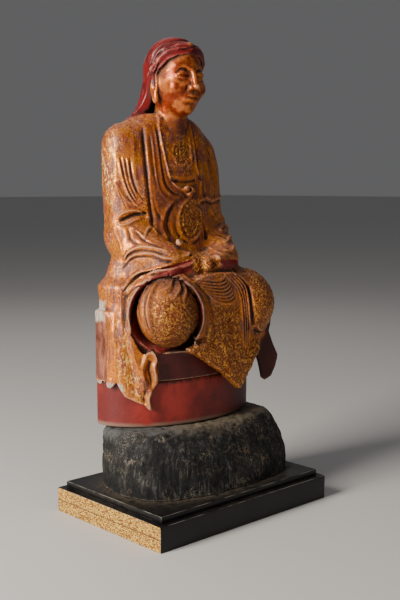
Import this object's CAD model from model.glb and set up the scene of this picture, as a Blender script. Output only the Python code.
import math

import bmesh
import bpy
import numpy as np
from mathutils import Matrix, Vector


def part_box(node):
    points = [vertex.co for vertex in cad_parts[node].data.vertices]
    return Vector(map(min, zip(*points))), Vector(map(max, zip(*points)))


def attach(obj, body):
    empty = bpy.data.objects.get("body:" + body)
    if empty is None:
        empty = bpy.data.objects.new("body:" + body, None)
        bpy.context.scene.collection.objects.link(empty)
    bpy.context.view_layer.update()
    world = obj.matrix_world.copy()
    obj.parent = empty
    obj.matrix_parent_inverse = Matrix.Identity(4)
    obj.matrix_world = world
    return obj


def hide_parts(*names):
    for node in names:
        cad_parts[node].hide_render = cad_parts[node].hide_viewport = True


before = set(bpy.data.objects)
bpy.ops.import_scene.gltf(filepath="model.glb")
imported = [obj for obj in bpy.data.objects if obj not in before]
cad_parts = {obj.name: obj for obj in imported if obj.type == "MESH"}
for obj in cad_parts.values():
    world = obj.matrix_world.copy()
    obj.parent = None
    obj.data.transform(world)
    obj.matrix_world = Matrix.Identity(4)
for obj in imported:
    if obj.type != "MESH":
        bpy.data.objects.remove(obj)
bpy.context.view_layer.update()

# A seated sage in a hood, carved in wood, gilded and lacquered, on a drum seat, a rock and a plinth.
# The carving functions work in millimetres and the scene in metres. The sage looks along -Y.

MM = 0.001


def box_mm(node):
    low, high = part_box(node)
    return np.array(low) / MM, np.array(high) / MM


# Sizes that the frame gives
board_low, board_high = box_mm("plinth_board")
step_low, step_high = box_mm("plinth_top")
rock_low, rock_high = box_mm("rock_base")
drum_low, drum_high = box_mm("seat_drum")
GAP = drum_low[2] - rock_high[2]
STEP_TOP = step_high[2]
ROCK_TOP = (rock_high[2] + drum_low[2]) / 2
SEAT_JOINT = drum_high[2] + GAP / 2

# Seat: a drum with a rounder front than back
SEAT_HALF_WIDTH = (drum_high[0] - drum_low[0]) / 2
SEAT_CENTRE_X = (drum_high[0] + drum_low[0]) / 2
SEAT_BACK_REACH = 48
SEAT_CENTRE_Y = drum_high[1] - SEAT_BACK_REACH
SEAT_FRONT_REACH = SEAT_CENTRE_Y - drum_low[1]
SEAT_TOP = 259
SEAT_TIER_SET_BACK = 4
SEAT_MARGIN = 15
JOINT_OVERLAP = 6

# Rock base
ROCK_LEFT = {"reach": 154, "squareness": 2.45}
ROCK_RIGHT = {"reach": 161, "squareness": 3.3}
ROCK_HALF_DEPTH = 99
ROCK_CENTRE_Y = 3

# Drum and boards
DRUM_RIM = 1.8
DRUM_LEVELS = 24
DRUM_SET_IN = 0.5
EDGE_ROUNDING = 1.0
BOARD_CELL = 5
DUST_SPILL = 11.0
CHIP_SIZE = 2.4
CHIP_STRETCH = (1, 1, 2.0)

# Figure
BACK_Y = 106
REAR_PANEL_TOP = 322
REAR_PANEL_FRONT = 34
HEM_TOP = 342
HEM_THICKNESS = 6
HEM_BACK = 44
HEM_TUCK = 20
HEM_TUCK_HEIGHT = 50
APRON_FRONT = -58
APRON_THICKNESS = 7
APRON_SIDE_BEND = 0.0012
APRON_TOP_BEND = 0.0035
APRON_BEND_START = 340
APRON_BACKING_SET_IN = 13
TAIL_DEPTH = 86
TAIL_HALF_THICKNESS = 9
ROBE_TOP = 404
LAP_TOP = 374
SHOULDER_TOP = 622
HEAD_TOP = 739
HEAD_BOTTOM = 617
HEAD_Y = 33
NEAR_KNEE = np.array([-76.0, -25.0, 321.0])
FAR_KNEE = np.array([80.0, -20.0, 322.0])
KNEE_RADIUS = 47
KNEE_HALF_HEIGHT = 53
NICHE_SLOPE = 32
NICHE_GAP = 9
NICHE_DEPTH = 36
CLOTH = 13
CUFF_BUTTON = 5
BOW_KNOT_Y = 14

# Directions from which lines are drawn on the carving, in degrees round from the front
QUARTER = -43
FRONT = 0
FAR_QUARTER = 43
BACK = 180

# Fineness of the carving: cell of the field, and triangles kept in a piece
FIGURE_CELL = 1.3
FIGURE_TRIANGLES = 192000
ROCK_CELL = 2.2
ROCK_TRIANGLES = 60000
FAR_OUTSIDE = 60
ADD_MARGIN = 12
CUT_MARGIN = 4
CREASE_SHARPNESS = 1.35
CREASE_DEPTH = 0.68
GAP_BETWEEN_SURFACES = 4
VIEW_DISTANCE = 250
SEARCH_LENGTH = 500
LINE_STEP = 1.5
SURFACE_STEP = 1.2
FINE_BEND, WIDE_BEND = 1.6, 4
HOLLOW_REACHES = ((5.0, 0.35), (10.0, 0.35), (18.0, 0.3))


# Small sums

def soft_min(a, b, soft):
    if soft <= 0:
        return np.minimum(a, b)
    overlap = np.maximum(soft - np.abs(a - b), 0) / soft
    return np.minimum(a, b) - overlap * overlap * soft / 4


def soft_max(a, b, soft):
    return -soft_min(-a, -b, soft)


def smooth_step(value, low, high):
    t = np.clip((value - low) / (high - low), 0, 1)
    return t * t * (3 - 2 * t)


def on_grid(value, x, y, z):
    """The value at every place of a grid, also when it doesn't depend on all three directions."""
    return value + 0 * (x + y + z)


def view_axes(degrees):
    turn = math.radians(degrees)
    right = np.array([math.cos(turn), math.sin(turn), 0.0])
    forward = np.array([-math.sin(turn), math.cos(turn), 0.0])
    return right, forward


def table_value(rows, at):
    """A smooth value from a table of (at, value) rows; it never overshoots a row."""
    places = np.array([row[0] for row in rows], float)
    values = np.array([row[1] for row in rows], float)
    steps = np.diff(places)
    slopes = np.diff(values) / steps
    before, after = slopes[:-1], slopes[1:]
    total = np.where(before + after == 0, 1, before + after)
    leans = np.zeros(len(rows))
    leans[1:-1] = np.where(before * after > 0, 2 * before * after / total, 0)
    leans[0], leans[-1] = slopes[0], slopes[-1]
    x = np.clip(at, places[0], places[-1])
    i = np.clip(np.searchsorted(places, x) - 1, 0, len(rows) - 2)
    t = (x - places[i]) / steps[i]
    u = 1 - t
    ends = values[i] * (1 + 2 * t) * u * u + values[i + 1] * t * t * (3 - 2 * t)
    return ends + steps[i] * (leans[i] * t * u * u - leans[i + 1] * t * t * u)


def ellipse_distance(x, y, half_width, half_depth):
    near = np.sqrt((x / half_width) ** 2 + (y / half_depth) ** 2)
    slope = np.sqrt((x / half_width ** 2) ** 2 + (y / half_depth ** 2) ** 2)
    inner = -np.minimum(half_width, half_depth)
    return np.where(near > 1e-4, near * (near - 1) / np.maximum(slope, 1e-9), inner)


def smooth_line(points, count):
    """Evenly timed places on a smooth curve through the points."""
    p = np.array(points, float)
    whole = np.vstack([2 * p[0] - p[1], p, 2 * p[-1] - p[-2]])
    t = np.linspace(0, len(p) - 1, count)
    i = np.minimum(t.astype(int), len(p) - 2)
    u = (t - i)[:, None]
    a, b, c, d = whole[i], whole[i + 1], whole[i + 2], whole[i + 3]
    square = 2 * a - 5 * b + 4 * c - d
    cube = 3 * b - 3 * c + d - a
    return 0.5 * (2 * b + (c - a) * u + square * u ** 2 + cube * u ** 3)


class Noise:
    """Smooth random values in space, from -1 to 1, the same in every run."""

    SIZE = 32

    def __init__(self, seed):
        self.table = np.random.default_rng(seed).uniform(-1, 1, (self.SIZE,) * 3).astype(np.float32)

    def __call__(self, x, y, z, scale):
        places = [np.asarray(v, np.float32) / scale for v in (x, y, z)]
        lows = [np.floor(v).astype(np.int64) for v in places]
        shares = [v - low for v, low in zip(places, lows)]
        i, j, k = [low % self.SIZE for low in lows]
        a, b, c = [s * s * (3 - 2 * s) for s in shares]
        i2, j2, k2 = [(n + 1) % self.SIZE for n in (i, j, k)]
        t = self.table

        def level(n):
            front = t[i, j, n] * (1 - a) + t[i2, j, n] * a
            rear = t[i, j2, n] * (1 - a) + t[i2, j2, n] * a
            return front * (1 - b) + rear * b

        return level(k) * (1 - c) + level(k2) * c


# Forms: each has a distance function, negative inside, and the box that it fills

class Form:
    def __init__(self, distance, low, high):
        self.distance = distance
        self.low = np.array(low, float)
        self.high = np.array(high, float)


def egg(centre, radii, turn=FRONT):
    right, forward = view_axes(turn)
    a, b, c = radii
    reach = max(radii)

    def distance(x, y, z):
        dx, dy, w = x - centre[0], y - centre[1], z - centre[2]
        u = dx * right[0] + dy * right[1]
        v = dx * forward[0] + dy * forward[1]
        near = np.sqrt((u / a) ** 2 + (v / b) ** 2 + (w / c) ** 2)
        slope = np.sqrt((u / a ** 2) ** 2 + (v / b ** 2) ** 2 + (w / c ** 2) ** 2)
        return near * (near - 1) / np.maximum(slope, 1e-6)

    centre = np.array(centre, float)
    return Form(distance, centre - reach, centre + reach)


def rod(stations, wide=1.0):
    """A rod along a line of (x, y, z, radius) stations; wide stretches its section sideways."""
    s = np.array(stations, float)
    reach = s[:, 3].max() * max(wide, 1)

    def distance(x, y, z):
        best = None
        for (ax, ay, az, ar), (bx, by, bz, br) in zip(s[:-1], s[1:]):
            ex, ey, ez = (bx - ax) / wide, by - ay, bz - az
            px, py, pz = (x - ax) / wide, y - ay, z - az
            t = np.clip((px * ex + py * ey + pz * ez) / (ex * ex + ey * ey + ez * ez), 0, 1)
            away = np.sqrt((px - t * ex) ** 2 + (py - t * ey) ** 2 + (pz - t * ez) ** 2)
            off = away - (ar + t * (br - ar))
            best = off if best is None else np.minimum(best, off)
        return best * min(wide, 1)

    return Form(distance, s[:, :3].min(0) - reach, s[:, :3].max(0) + reach)


def column(rows, soft_ends):
    """A loft of ellipses round the upright axis; rows are (height, centre y, half width, half depth)."""
    bottom, top = rows[0][0], rows[-1][0]
    reach = max(max(row[2], row[3]) for row in rows)

    def distance(x, y, z):
        centre, width, depth = [table_value([(row[0], row[k]) for row in rows], z) for k in (1, 2, 3)]
        side = ellipse_distance(x, y - centre, width, depth)
        return soft_max(side, np.maximum(bottom - z, z - top), soft_ends)

    middles = [row[1] for row in rows]
    return Form(distance, (-reach, min(middles) - reach, bottom), (reach, max(middles) + reach, top))


def soft_block(low, high, rounding):
    low, high = np.array(low, float), np.array(high, float)
    middle = (low + high) / 2
    half = (high - low) / 2 - rounding

    def distance(x, y, z):
        d = [np.abs(v - m) - h for v, m, h in zip((x, y, z), middle, half)]
        outside = np.sqrt(sum(np.maximum(v, 0) ** 2 for v in d))
        return outside + np.minimum(np.maximum(np.maximum(d[0], d[1]), d[2]), 0) - rounding

    return Form(distance, low, high)


def seat_distance(x, y, grown):
    """Distance in plan to the seat's outline, grown outwards."""
    reach = np.where(y < SEAT_CENTRE_Y, SEAT_FRONT_REACH, SEAT_BACK_REACH) + grown
    return ellipse_distance(x - SEAT_CENTRE_X, y - SEAT_CENTRE_Y, SEAT_HALF_WIDTH + grown, reach)


def seat_form(low, high, grown, soft):
    """A solid with the seat's plan between two heights; grown is a table of heights or a number."""
    side = SEAT_HALF_WIDTH + SEAT_MARGIN

    def distance(x, y, z):
        spread = table_value(grown, z) if isinstance(grown, list) else grown
        return soft_max(seat_distance(x, y, spread), np.maximum(low - z, z - high), soft)

    front = SEAT_CENTRE_Y - SEAT_FRONT_REACH - SEAT_MARGIN
    back = SEAT_CENTRE_Y + SEAT_BACK_REACH + SEAT_MARGIN
    return Form(distance, (-side, front, low), (side, back, high))


def outline_distance(corners, u, v):
    """Distance to a closed outline of (sideways, height) corners, negative inside."""
    nearest = None
    inside = False
    for (ax, ay), (bx, by) in zip(corners, corners[-1:] + corners[:-1]):
        ex, ey = bx - ax, by - ay
        px, py = u - ax, v - ay
        t = np.clip((px * ex + py * ey) / (ex * ex + ey * ey), 0, 1)
        gap = (px - t * ex) ** 2 + (py - t * ey) ** 2
        nearest = gap if nearest is None else np.minimum(nearest, gap)
        above, below, left = v >= ay, v < by, ex * py > ey * px
        inside = inside ^ ((above & below & left) | (~above & ~below & ~left))
    return np.where(inside, -1, 1) * np.sqrt(nearest)


def panel(corners, view, layer, low, high, rounding):
    """Hanging cloth: a layer cut to an outline as seen from one side."""
    right, _ = view_axes(view)

    def distance(x, y, z):
        outline = outline_distance(corners, x * right[0] + y * right[1], z)
        return soft_max(outline, layer(x, y, z), rounding)

    return Form(distance, low, high)


class Carving:
    """The block being carved: distances on a grid of points."""

    def __init__(self, low, high, cell):
        self.low = np.array(low, float)
        self.cell = cell
        self.axes = [np.arange(a, b + cell, cell).astype(np.float32) for a, b in zip(low, high)]
        self.values = np.full([len(axis) for axis in self.axes], FAR_OUTSIDE, np.float32)

    def window(self, low, high):
        slices = []
        for axis, a, b in zip(self.axes, low, high):
            first = max(int((a - axis[0]) / self.cell), 0)
            last = min(int((b - axis[0]) / self.cell) + 2, len(axis))
            slices.append(slice(first, max(last, first)))
        grids = np.meshgrid(*[axis[s] for axis, s in zip(self.axes, slices)], indexing="ij", sparse=True)
        return tuple(slices), grids

    def add(self, form, soft):
        part, grids = self.window(form.low - soft - ADD_MARGIN, form.high + soft + ADD_MARGIN)
        self.values[part] = soft_min(self.values[part], form.distance(*grids), soft)

    def cut(self, form, soft):
        part, grids = self.window(form.low - soft - CUT_MARGIN, form.high + soft + CUT_MARGIN)
        self.values[part] = soft_max(self.values[part], -form.distance(*grids), soft)

    def trim(self, distance, soft):
        """Keeps only what lies inside a distance function."""
        grids = np.meshgrid(*self.axes, indexing="ij", sparse=True)
        self.values = soft_max(self.values, distance(*grids).astype(np.float32), soft)

    def relief(self, height, band):
        """Raises the surface by a function of place, worked out only near the surface."""
        near = np.abs(self.values) < band
        i, j, k = np.nonzero(near)
        x, y, z = self.axes[0][i], self.axes[1][j], self.axes[2][k]
        self.values[near] -= height(x, y, z).astype(np.float32)

    def sample(self, points):
        t = (points - self.low) / self.cell
        t = np.clip(t, 0, np.array(self.values.shape) - 1.001)
        base = t.astype(int)
        a, b, c = (t - base).T
        i, j, k = base.T
        v = self.values

        def level(n):
            front = v[i, j, n] * (1 - a) + v[i + 1, j, n] * a
            rear = v[i, j + 1, n] * (1 - a) + v[i + 1, j + 1, n] * a
            return front * (1 - b) + rear * b

        return level(k) * (1 - c) + level(k + 1) * c

    def normals(self, points, step):
        slopes = []
        for k in range(3):
            shift = np.zeros(3)
            shift[k] = step
            slopes.append(self.sample(points + shift) - self.sample(points - shift))
        slopes = np.stack(slopes, axis=1)
        return slopes / np.maximum(np.linalg.norm(slopes, axis=1, keepdims=True), 1e-9)

    def drawn(self, line, view):
        """A line of (sideways, height) places, laid on the surface as seen from one side."""
        right, forward = view_axes(view)
        starts = line[:, :1] * right + line[:, 1:] * np.array([0, 0, 1.0]) - forward * VIEW_DISTANCE
        reach = np.full(len(line), np.nan)
        before = np.ones(len(line))
        for gone in range(SEARCH_LENGTH):
            value = self.sample(starts + forward * gone)
            hit = np.isnan(reach) & (value < 0)
            reach[hit] = gone + value[hit] / (before[hit] - value[hit])
            before = value
        found = ~np.isnan(reach)
        return starts[found] + forward * reach[found][:, None]

    def crease(self, line, height, width, lip, fade):
        """Raises (height above 0) or sinks the surface along a line, over a width to each side of it.
        With lip 1 or -1 the change stays full beside the line on one side only, as at a hem's edge."""
        tangents = np.gradient(line, axis=0)
        tangents /= np.maximum(np.linalg.norm(tangents, axis=1, keepdims=True), 1e-9)
        outwards = self.normals(line, LINE_STEP)
        sides = np.cross(tangents, outwards)
        lengths = np.linalg.norm(np.diff(line, axis=0), axis=1)
        runs = np.concatenate([[0], np.cumsum(lengths)]) / lengths.sum()
        longest = GAP_BETWEEN_SURFACES + 2 * np.median(lengths)
        margin = max(width, abs(height)) + 2
        part, grids = self.window(line.min(0) - margin - 1, line.max(0) + margin + 1)
        shape = np.broadcast(*grids).shape
        axes = [g.ravel() for g in grids]
        best = np.full(shape, 1e9, np.float32)
        beside = np.full(shape, 1e9, np.float32)
        lateral = np.zeros(shape, np.float32)
        along = np.zeros(shape, np.float32)
        for i in range(len(line) - 1):
            if lengths[i] > longest:
                continue
            a, b = line[i], line[i + 1]
            near = []
            for k in range(3):
                first = np.searchsorted(axes[k], min(a[k], b[k]) - margin)
                last = np.searchsorted(axes[k], max(a[k], b[k]) + margin)
                near.append(slice(first, last))
            near = tuple(near)
            px = axes[0][near[0]][:, None, None] - a[0]
            py = axes[1][near[1]][None, :, None] - a[1]
            pz = axes[2][near[2]][None, None, :] - a[2]
            e = b - a
            t = np.clip((px * e[0] + py * e[1] + pz * e[2]) / max(e @ e, 1e-9), 0, 1)
            dx, dy, dz = px - t * e[0], py - t * e[1], pz - t * e[2]
            off = np.sqrt(dx * dx + dy * dy + dz * dz)
            side = dx * sides[i][0] + dy * sides[i][1] + dz * sides[i][2]
            above = dx * outwards[i][0] + dy * outwards[i][1] + dz * outwards[i][2]
            flat = np.sqrt(np.maximum(off * off - above * above, 0))
            past_height = np.maximum(np.abs(above) - abs(height) - 1, 0)
            closer = off < best[near]
            beside[near] = np.where(closer, flat + past_height, beside[near])
            best[near] = np.where(closer, off, best[near])
            lateral[near] = np.where(closer, side, lateral[near])
            along[near] = np.where(closer, runs[i] + t * (runs[i + 1] - runs[i]), along[near])
        reach = np.clip(1 - beside / width, 0, 1)
        if lip == 0:
            shape_across = reach ** CREASE_SHARPNESS
        else:
            edge = np.clip(1 - beside / self.cell, 0, 1)
            shape_across = np.where(lateral * lip > 0, reach * reach * (3 - 2 * reach), edge)
        ends = np.sqrt(np.clip(np.minimum(along, 1 - along) / fade, 0, 1)) if fade > 0 else 1.0
        self.values[part] -= CREASE_DEPTH * height * shape_across * ends

    def lay(self, line, height, width, view, lip, fade):
        line = self.drawn(line, view)
        if len(line) > 1:
            self.crease(line, height, width, lip, fade)

    def fold(self, points, height, width, view=QUARTER, lip=0, fade=0.2, steps=28):
        """One fold along a smooth line, drawn as seen from one side."""
        self.lay(smooth_line(points, steps), height, width, view, lip, fade)

    def folds(self, first, last, count, height, width, view=QUARTER, fade=0.2, steps=28):
        """Folds spaced evenly from a first line to a last one."""
        start, end = smooth_line(first, steps), smooth_line(last, steps)
        for t in np.linspace(0, 1, count):
            self.lay(start * (1 - t) + end * t, height, width, view, 0, fade)

    def surface(self):
        """The surface as points and four-sided faces: one point in each cell that the surface crosses."""
        v = self.values
        inside = v < 0
        corners = [(i, j, k) for i in (0, 1) for j in (0, 1) for k in (0, 1)]
        size = [n - 1 for n in v.shape]

        def corner_slice(corner):
            return tuple(slice(c, c + n) for c, n in zip(corner, size))

        filled = sum(inside[corner_slice(c)].astype(np.uint8) for c in corners)
        mixed = (filled > 0) & (filled < 8)
        cells = np.argwhere(mixed)
        total = np.zeros((len(cells), 3), np.float64)
        crossings = np.zeros(len(cells))
        for a in corners:
            for k in range(3):
                if a[k] == 1:
                    continue
                b = tuple(1 if n == k else c for n, c in enumerate(a))
                va = v[tuple((cells + a).T)]
                vb = v[tuple((cells + b).T)]
                crossed = (va < 0) != (vb < 0)
                t = np.where(crossed, va / np.where(crossed, va - vb, 1), 0)
                place = np.array(a) + t[:, None] * (np.array(b) - np.array(a))
                total += place * crossed[:, None]
                crossings += crossed
        points = self.low + (cells + total / crossings[:, None]) * self.cell
        number = np.full(mixed.shape, -1, np.int64)
        number[mixed] = np.arange(len(cells))
        faces = []
        for k in range(3):
            one, other = (k + 1) % 3, (k + 2) % 3
            first = tuple(slice(0, n - 1) if m == k else slice(None) for m, n in enumerate(v.shape))
            second = tuple(slice(1, n) if m == k else slice(None) for m, n in enumerate(v.shape))
            edges = np.argwhere(inside[first] != inside[second])
            edges = edges[(edges[:, one] > 0) & (edges[:, other] > 0)]
            edges = edges[(edges[:, one] < size[one]) & (edges[:, other] < size[other])]
            ring = []
            for back_one, back_other in ((1, 1), (0, 1), (0, 0), (1, 0)):
                cell = edges.copy()
                cell[:, one] -= back_one
                cell[:, other] -= back_other
                ring.append(number[tuple(cell.T)])
            quads = np.stack(ring, axis=1)
            inwards = ~inside[tuple(edges.T)]
            quads[inwards] = quads[inwards][:, ::-1]
            faces.append(quads)
        return points, np.concatenate(faces)


# Blender objects

def placed(name, data):
    """An object in the scene from a mesh, a light or a camera."""
    thing = bpy.data.objects.new(name, data)
    bpy.context.scene.collection.objects.link(thing)
    return thing


def mesh_object(name, points, faces):
    """A smooth-shaded mesh object from points in millimetres and faces of equal length."""
    mesh = bpy.data.meshes.new(name)
    sides = faces.shape[1]
    mesh.vertices.add(len(points))
    mesh.vertices.foreach_set("co", (points * MM).astype(np.float32).ravel())
    mesh.loops.add(faces.size)
    mesh.loops.foreach_set("vertex_index", faces.astype(np.int32).ravel())
    mesh.polygons.add(len(faces))
    mesh.polygons.foreach_set("loop_start", np.arange(0, faces.size, sides, dtype=np.int32))
    mesh.polygons.foreach_set("loop_total", np.full(len(faces), sides, np.int32))
    mesh.polygons.foreach_set("use_smooth", np.ones(len(faces), bool))
    mesh.update()
    mesh.validate()
    return placed(name, mesh)


def with_modifier(thing, kind, **settings):
    """Runs one modifier and keeps its result as the object's own mesh."""
    modifier = thing.modifiers.new(kind.lower(), kind)
    for name, value in settings.items():
        setattr(modifier, name, value)
    graph = bpy.context.evaluated_depsgraph_get()
    result = bpy.data.meshes.new_from_object(thing.evaluated_get(graph))
    result.name = thing.data.name
    thing.modifiers.clear()
    thing.data = result
    return thing


def thinned(thing, triangles):
    now = sum(len(face.vertices) - 2 for face in thing.data.polygons)
    if now > triangles:
        with_modifier(thing, "DECIMATE", ratio=triangles / now)
    return thing


def points_of(thing):
    places = np.zeros(len(thing.data.vertices) * 3, np.float32)
    thing.data.vertices.foreach_get("co", places)
    return places.reshape(-1, 3).astype(float) / MM


def paint(thing, name, values):
    """Stores one number for each point of the mesh, for the material to read."""
    attribute = thing.data.attributes.new(name, "FLOAT", "POINT")
    attribute.data.foreach_set("value", np.clip(values, 0, 1).astype(np.float32))


def bend(carving, points, reach):
    """How sharply the surface bends at each point: above 0 on a ridge, below 0 in a groove."""
    total = np.zeros(len(points))
    for k in range(3):
        shift = np.zeros(3)
        shift[k] = reach
        total += carving.normals(points + shift, SURFACE_STEP)[:, k]
        total -= carving.normals(points - shift, SURFACE_STEP)[:, k]
    return total / (2 * reach)


def paint_relief(thing, carving):
    """Stores how deep in a hollow and how far out on a ridge each point lies."""
    points = points_of(thing)
    normals = carving.normals(points, SURFACE_STEP)
    closed_in = np.zeros(len(points))
    for reach, share in HOLLOW_REACHES:
        closed_in += share * np.clip(1 - carving.sample(points + normals * reach) / reach, 0, 1)
    fine, wide = bend(carving, points, FINE_BEND), bend(carving, points, WIDE_BEND)
    creases = 0.55 * np.clip(-fine / 0.5, 0, 1) + 0.55 * np.clip(-wide / 0.28, 0, 1)
    crests = 0.6 * np.clip((fine - 0.06) / 0.5, 0, 1) + 0.5 * np.clip((wide - 0.08) / 0.25, 0, 1)
    paint(thing, "hollow", np.maximum(closed_in, creases))
    paint(thing, "ridge", crests)
    return points, normals


# The figure's forms

HEAD_TURN = -5
HEAD_AXIS_Y = 55
CROWN = {"y": 45, "z": 692, "half_width": 45, "half_depth": 49}
SKULL = {"y": HEAD_Y, "z": 666, "half_width": 36, "half_depth": 40, "half_height": 666 - HEAD_BOTTOM}
FOREHEAD = {"y": 38, "z": 691, "half_width": 35, "half_depth": 40, "half_height": 41}
EYE_LINE = (HEAD_TOP + HEAD_BOTTOM) / 2
BROW_LINE = EYE_LINE + 10
NOSE_LINE = EYE_LINE - 22
MOUTH_LINE = EYE_LINE - 35
EYE_SPACING = 15

HOOD_RIM = [(-38, 596), (-44, 640), (-42, 674), (-41, 686), (-34, 699), (-21, 706), (0, 709)]
HOOD_OPENING = HOOD_RIM + [(-u, z) for u, z in reversed(HOOD_RIM[:-1])]


def onto_head(x, y, z):
    right, forward = view_axes(HEAD_TURN)
    back = y - HEAD_AXIS_Y
    return x * right[0] + back * forward[0], HEAD_AXIS_Y + x * right[1] + back * forward[1], z


def head_egg(x, y, z, radii):
    return egg(onto_head(x, y, z), radii, HEAD_TURN)


def head_rod(stations):
    return rod([(*onto_head(x, y, z), radius) for x, y, z, radius in stations])


def in_head_view(points):
    """Places on the head (sideways, height) as its own front view shows them."""
    right, _ = view_axes(HEAD_TURN)
    return [(x + HEAD_AXIS_Y * right[1], z) for x, z in points]


def face_y(x, z):
    """Where the bare face lies in depth, before its features are carved."""
    depths = []
    for form in (SKULL, FOREHEAD):
        inside = 1 - (x / form["half_width"]) ** 2 - ((z - form["z"]) / form["half_height"]) ** 2
        depths.append(form["y"] - form["half_depth"] * math.sqrt(max(inside, 0)))
    return min(depths)


def on_face(points, sunk, radius):
    """Stations of a rod that follows the face at a depth below its skin."""
    return [(x, face_y(x, z) + sunk, z, radius) for x, z in points]


def hem_layer(x, y, z):
    """A layer of cloth that follows the seat's side and ends at the rear panel."""
    grown = SEAT_TIER_SET_BACK - HEM_TUCK * smooth_step(z, HEM_TOP - HEM_TUCK_HEIGHT, HEM_TOP)
    return soft_max(np.abs(seat_distance(x, y, grown)) - HEM_THICKNESS, y - HEM_BACK, 3)


def seat_forms():
    bottom = SEAT_JOINT - JOINT_OVERLAP
    growth = [(SEAT_TOP, -2), (300, -3), (330, -6), (356, -4), (373, -17), (388, -23), (ROBE_TOP, -30)]
    rear = seat_form(bottom, REAR_PANEL_TOP, 1, 4)

    def behind(x, y, z):
        return soft_max(rear.distance(x, y, z), REAR_PANEL_FRONT - y, 3)

    return {
        "tier": seat_form(bottom, SEAT_TOP, -SEAT_TIER_SET_BACK, 2),
        "robe": seat_form(SEAT_TOP - JOINT_OVERLAP, ROBE_TOP, growth, 8),
        "rear": Form(behind, rear.low, rear.high),
    }


def knee_forms():
    x, y, z = NEAR_KNEE
    below = [(-66, SEAT_TOP), (-66, z - 30), (-10, z - 30), (4, z - 44), (-4, SEAT_TOP)]

    def front(px, py, pz):
        return on_grid(py - y - 10, px, py, pz)

    low, high = (x - 50, y - 90, SEAT_TOP - 8), (x + 80, y + 20, z)
    niche = [KNEE_RADIUS + NICHE_GAP, KNEE_RADIUS + NICHE_DEPTH, KNEE_HALF_HEIGHT + NICHE_GAP - 1]
    far = KNEE_RADIUS + CLOTH - 3
    return {
        "niche": egg(NEAR_KNEE - NICHE_SLOPE * view_axes(QUARTER)[1] + [-4, 0, -4], niche, QUARTER),
        "below": panel(below, QUARTER, front, low, high, 2),
        "ball": egg(NEAR_KNEE, [KNEE_RADIUS, KNEE_RADIUS, KNEE_HALF_HEIGHT], QUARTER),
        "far_knee": rod([(*(FAR_KNEE * [0.8, 0, 1] + [0, 46, 0]), far - 5), (*FAR_KNEE, far)]),
        "near_thigh": rod([(x * 0.8, 46, z, KNEE_RADIUS + CLOTH - 5), (x, y, z, KNEE_RADIUS + CLOTH)]),
    }


def near_hem():
    outline = [
        (-120, HEM_TOP), (-80, HEM_TOP), (-93, 312), (-94, 300), (-93, 289), (-87, 276), (-80, 264),
        (-72, 256), (-62, 265), (-56, 251), (-54, 232), (-54, 215), (-62, 204), (-67, 190), (-63, 171),
        (-74, 181), (-88, 187), (-104, 195), (-110, 205), (-116, 216), (-125, 206), (-131, 208),
        (-131, 240), (-128, 300), (-131, HEM_TOP),
    ]
    return panel(outline, QUARTER, hem_layer, (-165, -50, 168), (-60, 60, HEM_TOP), 2)


APRON_OUTLINE = [
    (-62, 366), (-46, 342), (-35, 318), (-33, 296), (-36, 279), (-50, 272), (-63, 267), (-59, 261),
    (-46, 255), (-28, 244), (-10, 232), (10, 219), (26, 205), (42, 193), (52, 202), (62, 212),
    (71, 223), (80, 234), (91, 243), (96, 254), (95, 267), (84, 276), (80, 300), (76, 330),
    (67, 352), (54, 366), (36, 377), (0, 379), (-30, 376),
]
APRON_LOW, APRON_HIGH = (-80, -84, 180), (100, -10, 390)


def apron():
    """The cloth lies forward of the lap, curves back at both sides and over the knees at the top."""
    def layer(x, y, z):
        back = APRON_SIDE_BEND * x * x + APRON_TOP_BEND * np.maximum(z - APRON_BEND_START, 0) ** 2
        return np.abs(y - APRON_FRONT - back) - APRON_THICKNESS

    return panel(APRON_OUTLINE, FRONT, layer, APRON_LOW, APRON_HIGH, 3)


def apron_backing():
    """Behind the cloth the wood is left standing as far as the seat, set in from the cloth's edge."""
    seat_front = SEAT_CENTRE_Y - SEAT_FRONT_REACH + JOINT_OVERLAP

    def distance(x, y, z):
        inside = outline_distance(APRON_OUTLINE, x, z) + APRON_BACKING_SET_IN
        return soft_max(inside, np.maximum(APRON_FRONT - y, y - seat_front), 3)

    return Form(distance, APRON_LOW, APRON_HIGH)


def behind_apron_edge():
    """The cloth beside the near knee is thin at its edge, so that the knee shows up to it."""
    strip = [(-72, 352), (-38, 345), (-26, 318), (-24, 296), (-27, 284), (-60, 284)]
    back = APRON_FRONT + 26

    def layer(x, y, z):
        return on_grid(np.maximum(APRON_FRONT - 1.5 - y, y - back), x, y, z)

    return panel(strip, FRONT, layer, (-80, APRON_FRONT - 10, 280), (-20, back, 356), 2)


def far_hem():
    outline = [
        (120, HEM_TOP), (80, HEM_TOP), (86, 300), (82, 272), (74, 250), (76, 228), (88, 214), (96, 222),
        (106, 206), (116, 214), (126, 205), (132, 210), (132, HEM_TOP),
    ]
    return panel(outline, FAR_QUARTER, hem_layer, (60, -50, 196), (170, 60, HEM_TOP), 2)


def far_tail():
    outline = [
        (96, 300), (126, 300), (124, 272), (131, 250), (139, 230), (136, 211), (129, 194), (118, 187),
        (111, 191), (108, 208), (103, 226), (98, 246), (92, 262),
    ]
    _, forward = view_axes(QUARTER)

    def hanging(x, y, z):
        depth = x * forward[0] + y * forward[1]
        return on_grid(np.abs(depth - TAIL_DEPTH) - TAIL_HALF_THICKNESS, x, y, z)

    return panel(outline, QUARTER, hanging, (110, -60, 180), (178, 30, 300), 5)


def mirrored(points):
    return [(-u, z) for u, z in points]


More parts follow.
